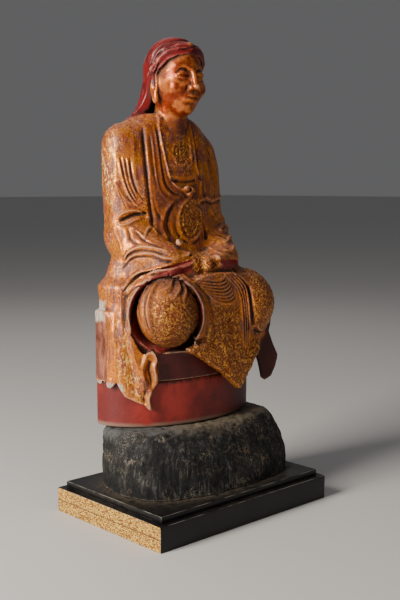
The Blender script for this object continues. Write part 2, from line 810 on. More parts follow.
def hood_drape():
    """Cloth from the crown to the shoulders, open at the front beside the neck."""
    rows = [
        (608, 88, 66, 17), (620, 86, 52, 19), (640, 82, 39, 22),
        (655, 78, 36, 25), (680, 60, 40, 32), (700, 50, 42, 40),
    ]
    cloth = column(rows, 6)
    open_front = [
        (-63, 662), (-65, 642), (-71, 628), (-85, 617), (-99, 611), (-99, 590), (40, 590), (40, 662),
    ]
    near_front, _ = view_axes(QUARTER)
    far_front, _ = view_axes(FAR_QUARTER)

    def distance(x, y, z):
        near = outline_distance(open_front, x * near_front[0] + y * near_front[1], z)
        far = outline_distance(mirrored(open_front), x * far_front[0] + y * far_front[1], z)
        opening = soft_max(soft_max(near, far, 2), y - 78, 4)
        return soft_max(cloth.distance(x, y, z), -opening, 3)

    return Form(distance, cloth.low, cloth.high)


def hood_roll():
    """The rolled band of cloth above the forehead, from temple to temple."""
    half = [(44, 39, 686, 5), (41, 27, 699, 5.5), (31, 18.5, 711, 6), (18, 10.5, 717, 6.5)]
    left = [(-x, y, z, radius) for x, y, z, radius in half]
    return head_rod(left + [(0, 5, 718.5, 6.8)] + half[::-1])


def head_forms():
    def in_front(x, y, z):
        return on_grid(y - 39, x, y, z)

    crown = [CROWN["half_width"], CROWN["half_depth"], HEAD_TOP - CROWN["z"]]
    skull = [SKULL["half_width"], SKULL["half_depth"], SKULL["half_height"]]
    forehead = [FOREHEAD["half_width"], FOREHEAD["half_depth"], FOREHEAD["half_height"]]
    return {
        "neck": rod([(0, 58, 596, 27), (0, 48, 650, 25)]),
        "skull": head_egg(0, SKULL["y"], SKULL["z"], skull),
        "forehead": head_egg(0, FOREHEAD["y"], FOREHEAD["z"], forehead),
        "crown": head_egg(0, CROWN["y"], CROWN["z"], crown),
        "drape": hood_drape(),
        "roll": hood_roll(),
        "opening": panel(in_head_view(HOOD_OPENING), HEAD_TURN, in_front, (-60, -30, 590), (60, 45, 715), 1),
    }


def cloth_forms():
    return {"near_hem": near_hem(), "apron": apron(), "far_hem": far_hem(), "far_tail": far_tail()}


FORMS = {**seat_forms(), **knee_forms(), **head_forms(), **cloth_forms()}


# Carving the figure

def carve_body(carving):
    for name in ("tier", "robe", "rear"):
        carving.add(FORMS[name], 0)
    trunk = [
        (LAP_TOP - 34, 44, 92, 54), (LAP_TOP, 48, 98, 52), (411, 52, 108, 48), (449, 60, 106, 46),
        (486, 65, 107, 50), (535, 71.6, 105, 52), (565, 79, 101, 50), (583, 80, 93, 47),
        (600, 80, 80, 43), (612, 79, 64, 38), (SHOULDER_TOP, 79, 44, 30),
    ]
    carving.add(column(trunk, 8), 8)
    carving.add(egg((0, 45, 450), (50, 31, 42)), 14)
    for name in ("near_thigh", "far_knee"):
        carving.add(FORMS[name], 10)
    carving.add(soft_block((-60, -62, 262), (66, 60, LAP_TOP), 30), 14)
    carving.add(rod([(112, -18, 300, 28), (124, -8, 272, 22)]), 16)


def carve_sleeves(carving):
    carving.add(rod([(-77, 80, 573, 32), (-82, 76, 500, 30), (-81, 68, 440, 32)]), 12)
    carving.add(rod([(77, 80, 560, 32), (82, 76, 500, 30), (83, 68, 440, 32)]), 12)
    near_forearm = [(-80, 60, 427, 31), (-72, 8, 404, 28), (-62, -10, 396, 27), (-32, -30, 391, 17)]
    far_forearm = [(84, 60, 430, 30), (66, 10, 403, 25), (52, -12, 396, 23), (22, -30, 391, 17)]
    for forearm in (near_forearm, far_forearm):
        carving.add(rod(forearm, 1.15), 18)
    carving.add(egg((-4, -34, 383), (24, 18, 13)), 6)
    for x in (-17, 6):
        carving.add(egg((x, -42, 391), (10, 15, 14)), 4)


def carve_cloth(carving):
    carving.cut(FORMS["below"], 0)
    carving.add(FORMS["near_hem"], 5)
    carving.cut(FORMS["niche"], 4)
    carving.add(FORMS["ball"], 0)
    carving.add(FORMS["apron"], 3)
    carving.add(apron_backing(), 3)
    carving.cut(behind_apron_edge(), 2)
    carving.add(FORMS["far_hem"], 5)
    carving.add(FORMS["far_tail"], 6)


def carve_head(carving):
    carving.add(FORMS["crown"], 3)
    carving.add(FORMS["drape"], 4)
    carving.cut(FORMS["opening"], 1.5)
    carving.add(FORMS["roll"], 2)
    carving.add(FORMS["neck"], 2)
    carving.add(FORMS["forehead"], 1)
    carving.add(FORMS["skull"], 10)
    for carve in (carve_eyes, carve_nose, carve_mouth, carve_ears):
        carve(carving)


# The face is calm and of plain proportions: eyes at half the head's height, nose and mouth evenly below.

def carve_eyes(carving):
    for side in (-1, 1):
        x = side * EYE_SPACING
        socket = face_y(x, EYE_LINE)
        carving.cut(head_egg(x - side, socket - 5, EYE_LINE + 1, [14, 10, 9]), 6)
        cheek_bone = face_y(side * 20, NOSE_LINE)
        carving.add(head_egg(side * 20, cheek_bone + 10, NOSE_LINE + 2, [13, 11, 11]), 9)
        carving.add(head_egg(x, socket + 8, EYE_LINE - 1, [10, 9, 7.5]), 1.5)
        brow = [
            (side * 5, BROW_LINE - 2), (side * 13, BROW_LINE + 2), (side * 22, BROW_LINE + 1.5),
            (side * 31, BROW_LINE - 5),
        ]
        carving.add(head_rod(on_face(brow, 0.8, 2.8)), 3)
        face_fold(carving, side, [(6, 2), (12, 7.5), (19, 7), (26, 1)], -2.6, 2.6)
        face_fold(carving, side, [(6, -2), (11, 2.5), (18, 2.5), (25, -2)], 2.6, 3)
        face_fold(carving, side, [(6.5, -3.5), (12, -2.5), (18, -2.5), (24.5, -3.5)], -4, 1.9)
        face_fold(carving, side, [(7, -5), (14, -6.5), (23, -5)], 2.2, 2.6)
        face_fold(carving, side, [(8, -8), (15, -10), (23, -8)], -1.8, 3)


def face_fold(carving, side, points, height, width):
    """A fold beside one eye, its points given as (sideways, above the eyes)."""
    line = [(side * x, EYE_LINE + above) for x, above in points]
    carving.fold(in_head_view(line), height, width, view=HEAD_TURN, fade=0.12)


def carve_nose(carving):
    tip = face_y(0, NOSE_LINE)
    bridge = [
        (0, face_y(0, BROW_LINE) + 2, BROW_LINE - 1, 4.2),
        (0, face_y(0, EYE_LINE) - 0.5, EYE_LINE, 4),
        (0, tip - 5.5, NOSE_LINE + 6, 5),
    ]
    carving.add(head_rod(bridge), 3.5)
    carving.add(head_egg(0, tip - 6, NOSE_LINE + 2.5, [6.4, 7, 5.6]), 2)
    for side in (-1, 1):
        carving.add(head_egg(side * 7, tip - 1.5, NOSE_LINE + 1, [4.6, 6, 4.4]), 1.5)
        carving.cut(head_egg(side * 3.8, tip - 5, NOSE_LINE - 4.2, [2, 2.6, 2.6]), 1)
        face_fold(carving, side, [(11, -19), (12.5, -24), (15, -30), (17, -37)], -2.2, 3)
        face_fold(carving, side, [(10.5, -17), (12, -22)], -2.4, 2)
    groove = in_head_view([(0, NOSE_LINE - 3), (0, MOUTH_LINE + 5)])
    carving.fold(groove, -1.6, 2.4, view=HEAD_TURN, fade=0.3)


def carve_mouth(carving):
    def across(points, height, width, fade=0.2):
        line = [(x, MOUTH_LINE + above) for x, above in points]
        carving.fold(in_head_view(line), height, width, view=HEAD_TURN, fade=fade)

    middle = face_y(0, MOUTH_LINE)
    carving.add(head_egg(0, middle + 5, MOUTH_LINE, [16, 7.5, 9]), 6)
    across([(-12.5, 0.5), (-5, 3.2), (0, 2.4), (5, 3.2), (12.5, 0.5)], 2.6, 2.8)
    across([(-10, -2.4), (0, -4.6), (10, -2.4)], 3.4, 3.4)
    across([(-14, 1), (-6, 0), (0, -0.8), (6, 0), (14, 1)], -4, 1.8, fade=0.1)
    across([(-14, 2), (-6, 6), (0, 5.2), (6, 6), (14, 2)], -1.4, 2)
    across([(-8, -9), (0, -10), (8, -9)], -2.4, 3.4)
    carving.add(head_egg(0, face_y(0, HEAD_BOTTOM + 10) + 9, HEAD_BOTTOM + 11, [15, 12, 10]), 7)


def carve_ears(carving):
    rim = [(39, 36, 655, 1.6), (40, 35, 668, 1.8), (40, 40, 681, 2.2), (40, 47, 680, 2)]
    for side in (-1, 1):
        carving.add(head_egg(side * 38, 43, 664, [5, 9, 20]), 2)
        carving.add(head_egg(side * 38, 41, 645, [4.4, 6.5, 10]), 3)
        carving.cut(head_egg(side * 43, 40, 667, [3.4, 5, 11]), 1.5)
        carving.add(head_rod([(side * x, y, z, radius) for x, y, z, radius in rim]), 1.5)


# Folds, drawn as seen from the named side as (sideways, height) places

def carve_near_arm(carving):
    fold, folds = carving.fold, carving.folds
    fold([(-125, 599), (-114, 609), (-104, 614), (-88, 610), (-79, 601)], 2.2, 5)
    fold([(-79, 602), (-75, 564), (-70, 518), (-66, 480), (-61, 445)], -6.5, 6, fade=0.12)
    fold([(-74, 590), (-70, 550), (-65, 510), (-62, 480)], 2, 3)
    fold([(-114, 590), (-118, 556), (-117, 515), (-112, 480)], 2.5, 9)
    outer = [(-114, 552), (-110, 530), (-104, 509), (-95, 490), (-84, 480)]
    inner = [(-101, 552), (-99, 532), (-95, 512), (-88, 496), (-78, 484)]
    folds(outer, inner, 3, 3.4, 3)
    outer_groove = [(-111, 554), (-107, 530), (-101, 509), (-93, 492), (-84, 483)]
    inner_groove = [(-97, 554), (-95, 532), (-91, 514), (-85, 499), (-77, 487)]
    folds(outer_groove, inner_groove, 3, -3.2, 2.6)
    folds(
        [(-123, 519), (-113, 503), (-104, 489), (-92, 479)],
        [(-119, 509), (-113, 497), (-108, 486), (-106, 474)],
        3, 3, 3,
    )
    fold([(-120, 514), (-112, 498), (-105, 483)], -3.4, 3)
    folds(
        [(-94, 486), (-84, 478), (-74, 475), (-66, 479)],
        [(-86, 500), (-80, 488), (-73, 483), (-68, 486)],
        4, 2.6, 2.2,
    )
    folds(
        [(-93, 489), (-83, 481), (-73, 477), (-66, 481)],
        [(-88, 499), (-80, 486), (-73, 481), (-67, 484)],
        3, -2.2, 1.8,
    )
    fold([(-92, 590), (-91, 560), (-88, 520), (-82, 500)], 2, 6)
    fold([(-117, 458), (-109, 467), (-94, 472), (-80, 469), (-66, 459)], 5, 3.6)
    fold([(-116, 455), (-109, 450), (-100, 452), (-88, 458), (-76, 461)], 4.5, 3.6)
    fold([(-113, 457), (-103, 461), (-92, 465), (-80, 466), (-71, 462)], -10, 4.5)
    fold([(-102, 455), (-91, 461), (-80, 463), (-70, 460)], 3.6, 2.2)
    fold([(-123, 449), (-111, 424), (-107, 404)], 3, 6)
    fold([(-96, 449), (-82, 438), (-74, 432), (-71, 442), (-64, 446), (-52, 434)], 3.5, 3.5)
    fold([(-99, 446), (-94, 428), (-80, 422)], -3, 4)
    fold([(-90, 446), (-80, 432), (-64, 424), (-46, 418)], -3, 4)
    carving.add(egg((-56, -28, 425), [CUFF_BUTTON] * 3), 2)


def carve_sleeve_hem(carving):
    def line(points, height, width, lower=0):
        carving.fold([(u, z - lower) for u, z in points], height, width, fade=0.1)

    upper_edge = [(-106, 396), (-97, 411), (-77, 419), (-54, 416), (-36, 412)]
    line(upper_edge, 3.6, 4)
    line(upper_edge, -3.4, 3, 5)
    rim = [(-108, 390), (-90, 406), (-63, 409), (-44, 403), (-27, 402), (-11, 405), (-3, 412)]
    line(rim, 4.2, 4)
    line(rim, -4.4, 3, 5)
    line([(-100, 392), (-84, 401), (-63, 403)], 2.4, 3)
    hem = [(-106, 356), (-92, 373), (-72, 384), (-42, 392), (-16, 399), (1, 404)]
    line(hem, 4.5, 4)
    line(hem, -4, 2.6, 5)
    lower_hem = [(-102, 350), (-86, 367), (-64, 378), (-42, 384), (-14, 390), (4, 398)]
    line(lower_hem, 5, 5)
    line(lower_hem, -5, 4, 7)


def carve_near_robe(carving):
    fold = carving.fold
    arch = [
        (-94, 290), (-98, 318), (-96, 342), (-86, 361), (-68, 377), (-50, 385),
        (-28, 383), (-5, 370), (12, 351), (21, 332), (26, 298),
    ]
    fold(arch, 2.5, 6, fade=0.1)
    fold([(-104, 300), (-105, 322), (-102, 344), (-92, 366), (-74, 380)], -3, 6)
    fold([(-109, 362), (-109, 331), (-107, 301), (-101, 278)], 2.5, 7)
    fold([(-95, 283), (-86, 247), (-77, 219), (-76, 190)], 4, 8)
    fold([(-111, 270), (-109, 231), (-103, 205)], 2, 9)
    fold([(-118, 345), (-119, 296), (-116, 263), (-119, 222)], 1.5, 9)
    fold([(-114, 330), (-114, 290), (-113, 250), (-112, 222)], -1.5, 8)
    fold([(-101, 335), (-103, 300), (-100, 264), (-92, 229), (-88, 197)], -2.5, 7)
    fold([(-128, 330), (-127, 290), (-125, 250), (-124, 220)], -1.6, 7, fade=0.1)
    fold([(-139, 320), (-140, 280), (-139, 240), (-139, 215)], -2, 7)
    fold([(-67, 262), (-74, 248), (-77, 232), (-72, 214)], 5, 6)
    fold([(-62, 263), (-57, 250), (-59, 239), (-57, 226), (-57, 216)], 5, 5)
    fold([(-65, 250), (-67, 236), (-64, 221), (-63, 208)], -7, 6)
    fold([(-64, 204), (-68, 190), (-65, 174)], 4, 5)
    fold([(-72, 206), (-75, 192), (-73, 182)], -4, 5)


def carve_knee_cloth(carving):
    fold, folds = carving.fold, carving.folds
    outer = [(-61, 371), (-78, 353), (-83, 334), (-79, 310), (-64, 288)]
    inner = [(-48, 372), (-59, 355), (-64, 331), (-59, 305), (-52, 284)]
    folds(outer, inner, 3, -4, 4, fade=0.1)
    outer_ridge = [(-58, 373), (-72, 356), (-78, 332), (-74, 307), (-60, 285)]
    inner_ridge = [(-51, 373), (-62, 357), (-69, 331), (-64, 305), (-55, 283)]
    folds(outer_ridge, inner_ridge, 2, 2.2, 4.5)
    fold([(-31, 373), (-36, 362), (-49, 357), (-55, 349)], 3, 4.5)
    fold([(-23, 370), (-20, 360), (-26, 350), (-31, 348)], 3, 4.5)
    fold([(-16, 366), (-11, 356), (-14, 342)], 3, 4.5)
    fold([(-28, 371), (-29, 360), (-38, 353), (-44, 349)], -2.5, 4)
    fold([(-19, 368), (-15, 358), (-19, 348)], -2.5, 4)


def carve_apron_folds(carving):
    fold, folds = carving.fold, carving.folds
    left_stripe = [(46, 378), (56, 366), (66, 353), (71, 342), (74, 328), (76, 305), (77, 282), (78, 254)]
    right_stripe = [(56, 381), (70, 367), (79, 354), (83, 342), (85, 328), (87, 305), (88, 284), (88, 258)]
    folds(left_stripe, right_stripe, 4, 3.2, 2.4, fade=0.08)
    left_groove = [(48, 378), (58, 366), (68, 353), (73, 342), (76, 328), (78, 305), (79, 282), (80, 256)]
    right_groove = [(54, 381), (67, 367), (77, 354), (81, 342), (83, 328), (85, 305), (86, 284), (86, 260)]
    folds(left_groove, right_groove, 3, -2.8, 2, fade=0.08)
    slit = [(61, 380), (74, 367), (84, 354), (88, 342), (90, 327), (92, 307), (94, 290)]
    fold(slit, -9, 5, fade=0.1)
    upper = [(-4, 372), (19, 369), (38, 367), (46, 370), (49, 376)]
    lower = [(22, 345), (39, 334), (55, 331), (65, 337), (66, 351)]
    folds(upper, lower, 8, 3.2, 2.6, fade=0.15)
    upper_groove = [(0, 370), (22, 366), (40, 364), (49, 368), (51, 373)]
    lower_groove = [(24, 347), (40, 337), (54, 334), (63, 339), (64, 353)]
    folds(upper_groove, lower_groove, 7, -2.6, 2.2, fade=0.15)
    fold([(-14, 367), (0, 362), (11, 352), (19, 338), (22, 318), (25, 298), (26, 278)], 2.6, 4)
    fold([(-6, 371), (8, 362), (18, 350), (25, 336), (29, 318), (32, 297), (33, 274)], -3.4, 3.5)
    fold([(-28, 372), (-12, 372), (0, 366)], -2.5, 3.5)
    fold([(0, 272), (9, 270), (20, 273)], 5, 6)
    fold([(4, 279), (14, 277), (24, 280)], -4, 5)
    fold([(44, 300), (46, 270), (52, 240), (60, 215)], 3, 8)
    fold([(60, 306), (62, 276), (66, 248), (70, 228)], -3, 7)
    folds(
        [(106, 273), (96, 266), (87, 257), (84, 249)],
        [(107, 252), (100, 246), (93, 238), (88, 226)],
        3, 3, 3,
    )


def carve_chest(carving):
    fold = carving.fold
    collar = [(-57, 622), (-52, 586), (-44, 547), (-37, 521), (-26, 506), (-12, 499)]
    fold(collar, 5, 8, lip=-1, fade=0.03)
    fold([(-54, 612), (-48, 586), (-40, 547), (-33, 521), (-22, 509)], -3, 5, fade=0.1)
    fold([(-62, 604), (-56, 570), (-52, 540), (-47, 511), (-36, 496), (-22, 490)], 2.6, 3, fade=0.1)
    fold([(-59, 604), (-53, 570), (-49, 541), (-43, 514), (-33, 500), (-20, 494)], -3.4, 3, fade=0.1)
    fold([(-66, 596), (-61, 556), (-57, 522), (-52, 502), (-42, 490), (-28, 484)], 2, 3)
    fold([(-68, 590), (-63, 556), (-59, 522), (-54, 502)], -2.4, 3)
    fold([(-68, 530), (-63, 500), (-58, 475), (-46, 450)], -2.5, 4)
    fold([(-46, 574), (-38, 562), (-28, 552), (-16, 548), (-6, 552)], 1.8, 2.4)
    fold([(-15, 612), (-8, 586), (-3, 542)], 3, 4, fade=0.05)
    fold([(-9, 611), (-1, 575), (3, 542), (11, 517), (10, 493)], 4, 5, fade=0.05)
    fold([(-3, 606), (4, 574), (9, 534), (17, 505), (17, 488)], -7, 5, fade=0.05)
    fold([(-42, 588), (-25, 588), (-9, 589)], 2, 3.5, fade=0.05)
    fold([(-40, 540), (-21, 539), (-1, 541)], 3, 4, fade=0.05)
    fold([(-36, 524), (-15, 522), (5, 525)], 3, 4, fade=0.05)
    fold([(-38, 532), (-18, 531), (2, 533)], -2, 4, fade=0.05)
    fold([(-36, 518), (-15, 515), (4, 518)], -4, 5, fade=0.05)
    for step in range(4):
        fold([(-34, 597 + 4 * step), (-26, 599 + 4 * step), (-18, 596 + 4 * step)], 1.5, 2.5)
    for x, z in ((-3, 504), (9, 502), (3, 496)):
        carving.add(egg((x, BOW_KNOT_Y, z), (6, 6, 5)), 1.5)
    fold([(-17, 503), (-9, 508), (-1, 503), (-9, 496), (-17, 502)], 3, 4, fade=0)


BELLY_OVAL = [
    (-23, 452), (-22, 468), (-16, 482), (-5, 489), (6, 481), (12, 458), (8, 434), (-4, 424), (-17, 433),
]
MEDALLION = [(-33, 556), (-30, 572), (-18, 579), (-5, 571), (-3, 557), (-10, 545), (-22, 542)]


def carve_belly(carving):
    fold = carving.fold
    fold(BELLY_OVAL + BELLY_OVAL[:1], 3, 4.5, fade=0, steps=40)
    inner = [
        (-17, 452), (-16, 466), (-11, 477), (-5, 482), (2, 475),
        (6, 457), (3, 440), (-4, 432), (-12, 439), (-17, 452),
    ]
    fold(inner, 2, 3, fade=0, steps=40)
    fold([(-27, 462), (-28, 446), (-20, 428), (-4, 419), (11, 427)], -3, 4)
    fold([(-30, 440), (-22, 426), (-9, 419), (3, 425), (10, 440)], 2, 4)
    fold([(-18, 494), (-34, 482), (-44, 469), (-49, 447), (-41, 427)], 4, 6)
    fold([(-22, 490), (-34, 476), (-39, 462), (-40, 447), (-34, 430)], -4, 6)
    fold([(5, 486), (14, 468), (19, 436), (20, 424)], -7, 6, fade=0.1)
    fold(MEDALLION + MEDALLION[:1], 2, 3.5, fade=0, steps=32)


def carve_far_side(carving):
    fold = carving.fold
    fold([(10, 594), (18, 551), (26, 510)], 3, 6)
    fold([(18, 590), (26, 543), (34, 505)], -3, 5)
    fold([(22, 580), (31, 540), (38, 505)], 3, 5)
    fold([(8, 486), (19, 490), (27, 487), (38, 490), (44, 494)], 4, 5, fade=0.1)
    fold([(8, 480), (19, 484), (30, 481), (42, 486)], -4, 5, fade=0.1)
    fold([(24, 478), (32, 462), (40, 450)], 3, 5)
    fold([(40, 424), (51, 420), (58, 428)], 4, 5, fade=0.1)
    fold([(44, 411), (57, 407), (64, 415)], 4, 5, fade=0.1)
    fold([(36, 440), (48, 436), (54, 442)], 3, 5, fade=0.1)
    fold([(34, 432), (48, 428), (60, 420)], -3, 4)
    fold([(22, 412), (38, 406), (60, 398), (84, 386)], 4, 7, fade=0.1)
    fold([(24, 404), (40, 397), (64, 388), (90, 377)], -5, 6, fade=0.1)
    fold([(75, 381), (88, 376), (102, 370)], 3, 5)
    fold([(96, 296), (108, 280), (118, 286)], 4, 5)
    fold([(94, 284), (108, 270), (120, 276)], -5, 5)


def carve_unseen_folds(carving):
    """Sides that the photograph doesn't show, in keeping with the rest and plainer."""
    folds = carving.folds
    shoulder = [(60, 590), (78, 560), (84, 520), (72, 480)]
    sleeve = [(84, 588), (100, 560), (104, 520), (92, 470)]
    folds(shoulder, sleeve, 4, 3, 6, view=FAR_QUARTER)
    folds(
        [(60, 452), (86, 462), (108, 452)],
        [(56, 424), (84, 428), (110, 418)],
        3, 4, 6, view=FAR_QUARTER,
    )
    folds(
        [(84, 350), (90, 310), (92, 270)],
        [(128, 345), (128, 300), (126, 262)],
        4, 3.5, 7, view=FAR_QUARTER,
    )
    folds(
        [(-86, 585), (-84, 520), (-78, 460), (-80, 405)],
        [(78, 585), (70, 520), (74, 460), (84, 405)],
        8, 2.6, 8, view=BACK,
    )
    folds([(-84, 592), (0, 560), (84, 592)], [(-70, 560), (0, 510), (70, 560)], 3, 2, 7, view=BACK)
    folds([(-90, 372), (0, 352), (90, 372)], [(-104, 340), (0, 300), (104, 340)], 4, 3.5, 8, view=BACK)
    folds(
        [(-120, 300), (-118, 260), (-122, 222)],
        [(116, 300), (118, 260), (114, 222)],
        9, 2, 9, view=BACK,
    )


def carve_hood_folds(carving):
    fold, folds = carving.fold, carving.folds
    behind_roll = [(16, 721), (3, 728), (-15, 731), (-36, 729), (-52, 721), (-63, 707), (-67, 693)]
    fold(behind_roll, -4.5, 3.6, fade=0.08)
    fold([(-64, 692), (-59, 703), (-46, 713), (-28, 719), (-10, 720), (4, 718)], -4, 2.4, fade=0.15)
    fold([(-62, 698), (-52, 713), (-34, 722), (-14, 725), (2, 723)], 2.4, 3, fade=0.15)
    fold([(-24, 713), (-8, 716), (4, 722), (14, 722)], -3.6, 2.4, fade=0.15)
    fold([(-44, 706), (-26, 713), (-8, 711), (8, 714)], 2, 3)
    fold([(15, 714), (18, 718), (15, 722), (11, 720)], -3, 2.2, fade=0.2)
    fold([(-67, 696), (-67, 708), (-62, 722), (-50, 733)], -3.4, 4)
    fold([(-71, 690), (-72, 702), (-68, 718), (-58, 730)], -2.8, 4)
    drape = [(-66, 688), (-70, 668), (-74, 648), (-84, 630), (-97, 619)]
    for shift, height in ((1, 2.4), (7, -2.4)):
        fold([(u - shift, z + shift * 0.3) for u, z in drape], height, 5, fade=0.1)
    for across, up in ((-4, -2), (0, 0), (5, 1)):
        fold([(-70 + across, 676 + up), (-64 + across, 686 + up), (-59 + across, 697 + up)], 2.4, 2.4)
        fold([(-68 + across, 675 + up), (-62 + across, 684 + up), (-57 + across, 694 + up)], -3, 2)
    far_roll = mirrored(behind_roll)
    fold(far_roll, -3.2, 4, view=FAR_QUARTER, fade=0.08)
    fold([(-10, 721), (10, 721), (28, 720), (46, 714), (58, 704)], -2, 3, view=FAR_QUARTER)
    for shift, height in ((1, 2.4), (7, -2.4)):
        fold([(-u + shift, z + shift * 0.3) for u, z in drape], height, 5, view=FAR_QUARTER, fade=0.1)
    folds([(-30, 712), (-40, 655), (-58, 618)], [(30, 712), (40, 655), (58, 618)], 6, 2.2, 5, view=BACK)
    folds([(-24, 706), (-33, 655), (-48, 618)], [(24, 706), (33, 655), (48, 618)], 5, -2, 4, view=BACK)


# Places on the figure that differ in colour or relief, as seen from the near quarter: (sideways, height)

LINING_UNDER_CUFFS = [
    (-65, 382), (-50, 388), (-35, 392), (-17, 396), (-3, 400), (9, 400),
    (17, 395), (16, 386), (3, 382), (-13, 379), (-36, 377), (-53, 380),
]
LINING_UNDER_FAR_SLEEVE = [(40, 396), (61, 395), (83, 389), (71, 385), (49, 379), (39, 384)]
CUFFS = [
    (0, 403), (11, 407), (19, 402), (26, 401), (33, 402), (41, 395),
    (38, 384), (30, 377), (17, 375), (2, 373), (-3, 388),
]
FLAKED_SHOULDER = [(-125, 597), (-115, 563), (-118, 518), (-124, 473), (-134, 488), (-146, 549)]
FLAKED_STRIP = [
    (-100, 369), (-91, 367), (-93, 342), (-98, 297), (-101, 267), (-108, 269), (-105, 312), (-102, 340),
]
FLAKED_HEM = [
    (-112, 268), (-98, 266), (-82, 226), (-68, 192), (-66, 176), (-90, 188), (-110, 206), (-116, 236),
]
INNER_ROBE = [
    (-70, 604), (-62, 604), (-50, 560), (-42, 524), (-26, 506), (-10, 506), (0, 514), (15, 508), (14, 490),
    (-6, 490), (-22, 480), (-30, 440), (-56, 432), (-66, 480), (-74, 540),
]
THROAT = [(-50, 640), (-44, 596), (-38, 588), (-12, 588), (-6, 600), (6, 640)]
PALE_LAP = [
    (-116, 393), (-80, 407), (-43, 412), (-6, 411), (3, 408),
    (-6, 405), (-35, 397), (-65, 388), (-96, 380), (-123, 374),
]
APRON_BROCADE = [
    (-10, 362), (8, 352), (18, 336), (34, 330), (52, 326), (70, 327), (73, 300), (75, 262), (82, 254),
    (96, 274), (112, 266), (104, 236), (84, 200), (60, 178), (20, 215), (-14, 262), (8, 284), (14, 310),
    (4, 338),
]
APRON_BAND = [(2, 360), (13, 358), (23, 337), (29, 303), (28, 280), (14, 278), (14, 318)]
PALE_APRON = [(-6, 375), (16, 373), (47, 384), (70, 359), (74, 332), (34, 332), (17, 343)]
FAR_KNEE_BROCADE = [
    (75, 376), (84, 365), (91, 347), (93, 327), (95, 306), (98, 290), (112, 280), (128, 272), (142, 300),
    (142, 350), (126, 374), (98, 382),
]


def quarter_place(x, y):
    right, _ = view_axes(QUARTER)
    return x * right[0] + y * right[1]


def inside_outline(corners, x, y, z, blur=2.5):
    return smooth_step(-outline_distance(corners, quarter_place(x, y), z), -blur, blur)


def near_form(form, x, y, z, reach, blur=1.5):
    """1 where a place lies inside or close to a form."""
    return 1 - smooth_step(form.distance(x, y, z), reach - blur, reach + blur)


def brocade_share(x, y, z):
    """Where the gilding is raised in a fine pattern: knees, apron, belly, medallion and cuffs."""
    top_of_ball = NEAR_KNEE[2] + 27
    ball = near_form(FORMS["ball"], x, y, z, 3) * (1 - smooth_step(z, top_of_ball - 8, top_of_ball + 8))
    ball = ball * (y < 20) * smooth_step(quarter_place(x, y), -66, -58)
    brocaded = np.maximum(inside_outline(APRON_BROCADE, x, y, z, 5), inside_outline(APRON_BAND, x, y, z))
    cloth = near_form(FORMS["apron"], x, y, z, 3) * brocaded * (y < -25)
    far = inside_outline(FAR_KNEE_BROCADE, x, y, z, 3) * (x > 40) * (y < 40)
    front = y < 55
    belly = inside_outline(BELLY_OVAL, x, y, z) * front
    medallion = inside_outline(MEDALLION, x, y, z) * front
    cuffs = inside_outline(CUFFS, x, y, z) * (y < 0)
    return np.maximum.reduce([ball, cloth, far, belly, medallion, cuffs])


SCROLLS = Noise(11)
SPECKS = Noise(12)
SURFACE_WAVES = Noise(13)


def brocade_height(x, y, z):
    """Raised lines that follow the contours of smooth noise, broken up by small specks."""
    field = SCROLLS(x, y, z, 9.0) + 0.5 * SCROLLS(x + 70, y, z, 4.5)
    lines = np.cos(field * 14)
    specks = SPECKS(x, y, z, 2.4)
    return 0.45 * lines + 0.7 * specks


def figure_relief(x, y, z):
    face = near_form(FORMS["skull"], x, y, z, 5) * (y < 45)
    hood = near_form(FORMS["crown"], x, y, z, 6) + near_form(FORMS["drape"], x, y, z, 4)
    calm = np.clip(face + 0.8 * hood, 0, 1)
    waves = 0.45 * SURFACE_WAVES(x, y, z, 19) + 0.22 * SURFACE_WAVES(x + 40, y, z, 7)
    waves += 0.16 * SURFACE_WAVES(x, y, z + 60, 3.2)
    return waves * (1 - 0.9 * calm) + brocade_share(x, y, z) * brocade_height(x, y, z)


def carved_figure():
    carving = Carving((-168, -88, 160), (184, 120, 748), FIGURE_CELL)
    for carve in (carve_body, carve_sleeves, carve_cloth, carve_head):
        carve(carving)
    carving.trim(lambda x, y, z: on_grid(y - BACK_Y, x, y, z), 14)
    for carve in (
        carve_near_arm, carve_sleeve_hem, carve_near_robe, carve_knee_cloth, carve_apron_folds,
        carve_chest, carve_belly, carve_far_side, carve_unseen_folds, carve_hood_folds,
    ):
        carve(carving)
    carving.relief(figure_relief, 3.5)
    seat = seat_form(SEAT_JOINT - 60, SEAT_JOINT + GAP, 0.6, 0)
    carving.cut(seat, 0)
    return carving


def make_sage():
    carving = carved_figure()
    sage = thinned(mesh_object("carved_sage", *carving.surface()), FIGURE_TRIANGLES)
    paint_figure(sage, carving)
    sage.data.materials.append(worn_gilding())
    return sage


# Masks for the figure's material

def paint_figure(thing, carving):
    points, normals = paint_relief(thing, carving)
    x, y, z = points.T
    facing = -(normals @ view_axes(QUARTER)[1])
    in_front = smooth_step(facing, -0.1, 0.3)
    hood = paint_head(thing, x, y, z)
    paint(thing, "brocade", brocade_share(x, y, z))
    paint(thing, "raised", smooth_step(brocade_height(x, y, z), -0.35, 0.6))
    paint_lacquer(thing, x, y, z, in_front)
    paint_breaks(thing, x, y, z)
    paint_flakes(thing, x, y, z, facing)
    inner = np.maximum(0.8 * inside_outline(INNER_ROBE, x, y, z, 6), inside_outline(THROAT, x, y, z, 5))
    paint(thing, "inner", inner * in_front * (y < 60) * (1 - inside_outline(MEDALLION, x, y, z)))
    dust = smooth_step(normals[:, 2], 0.35, 0.95) * (1 - 0.6 * hood)
    pale = np.maximum(*[inside_outline(outline, x, y, z, 5) for outline in (PALE_LAP, PALE_APRON)])
    paint(thing, "dust", np.maximum(dust, 0.9 * pale * in_front * (y < 60)))


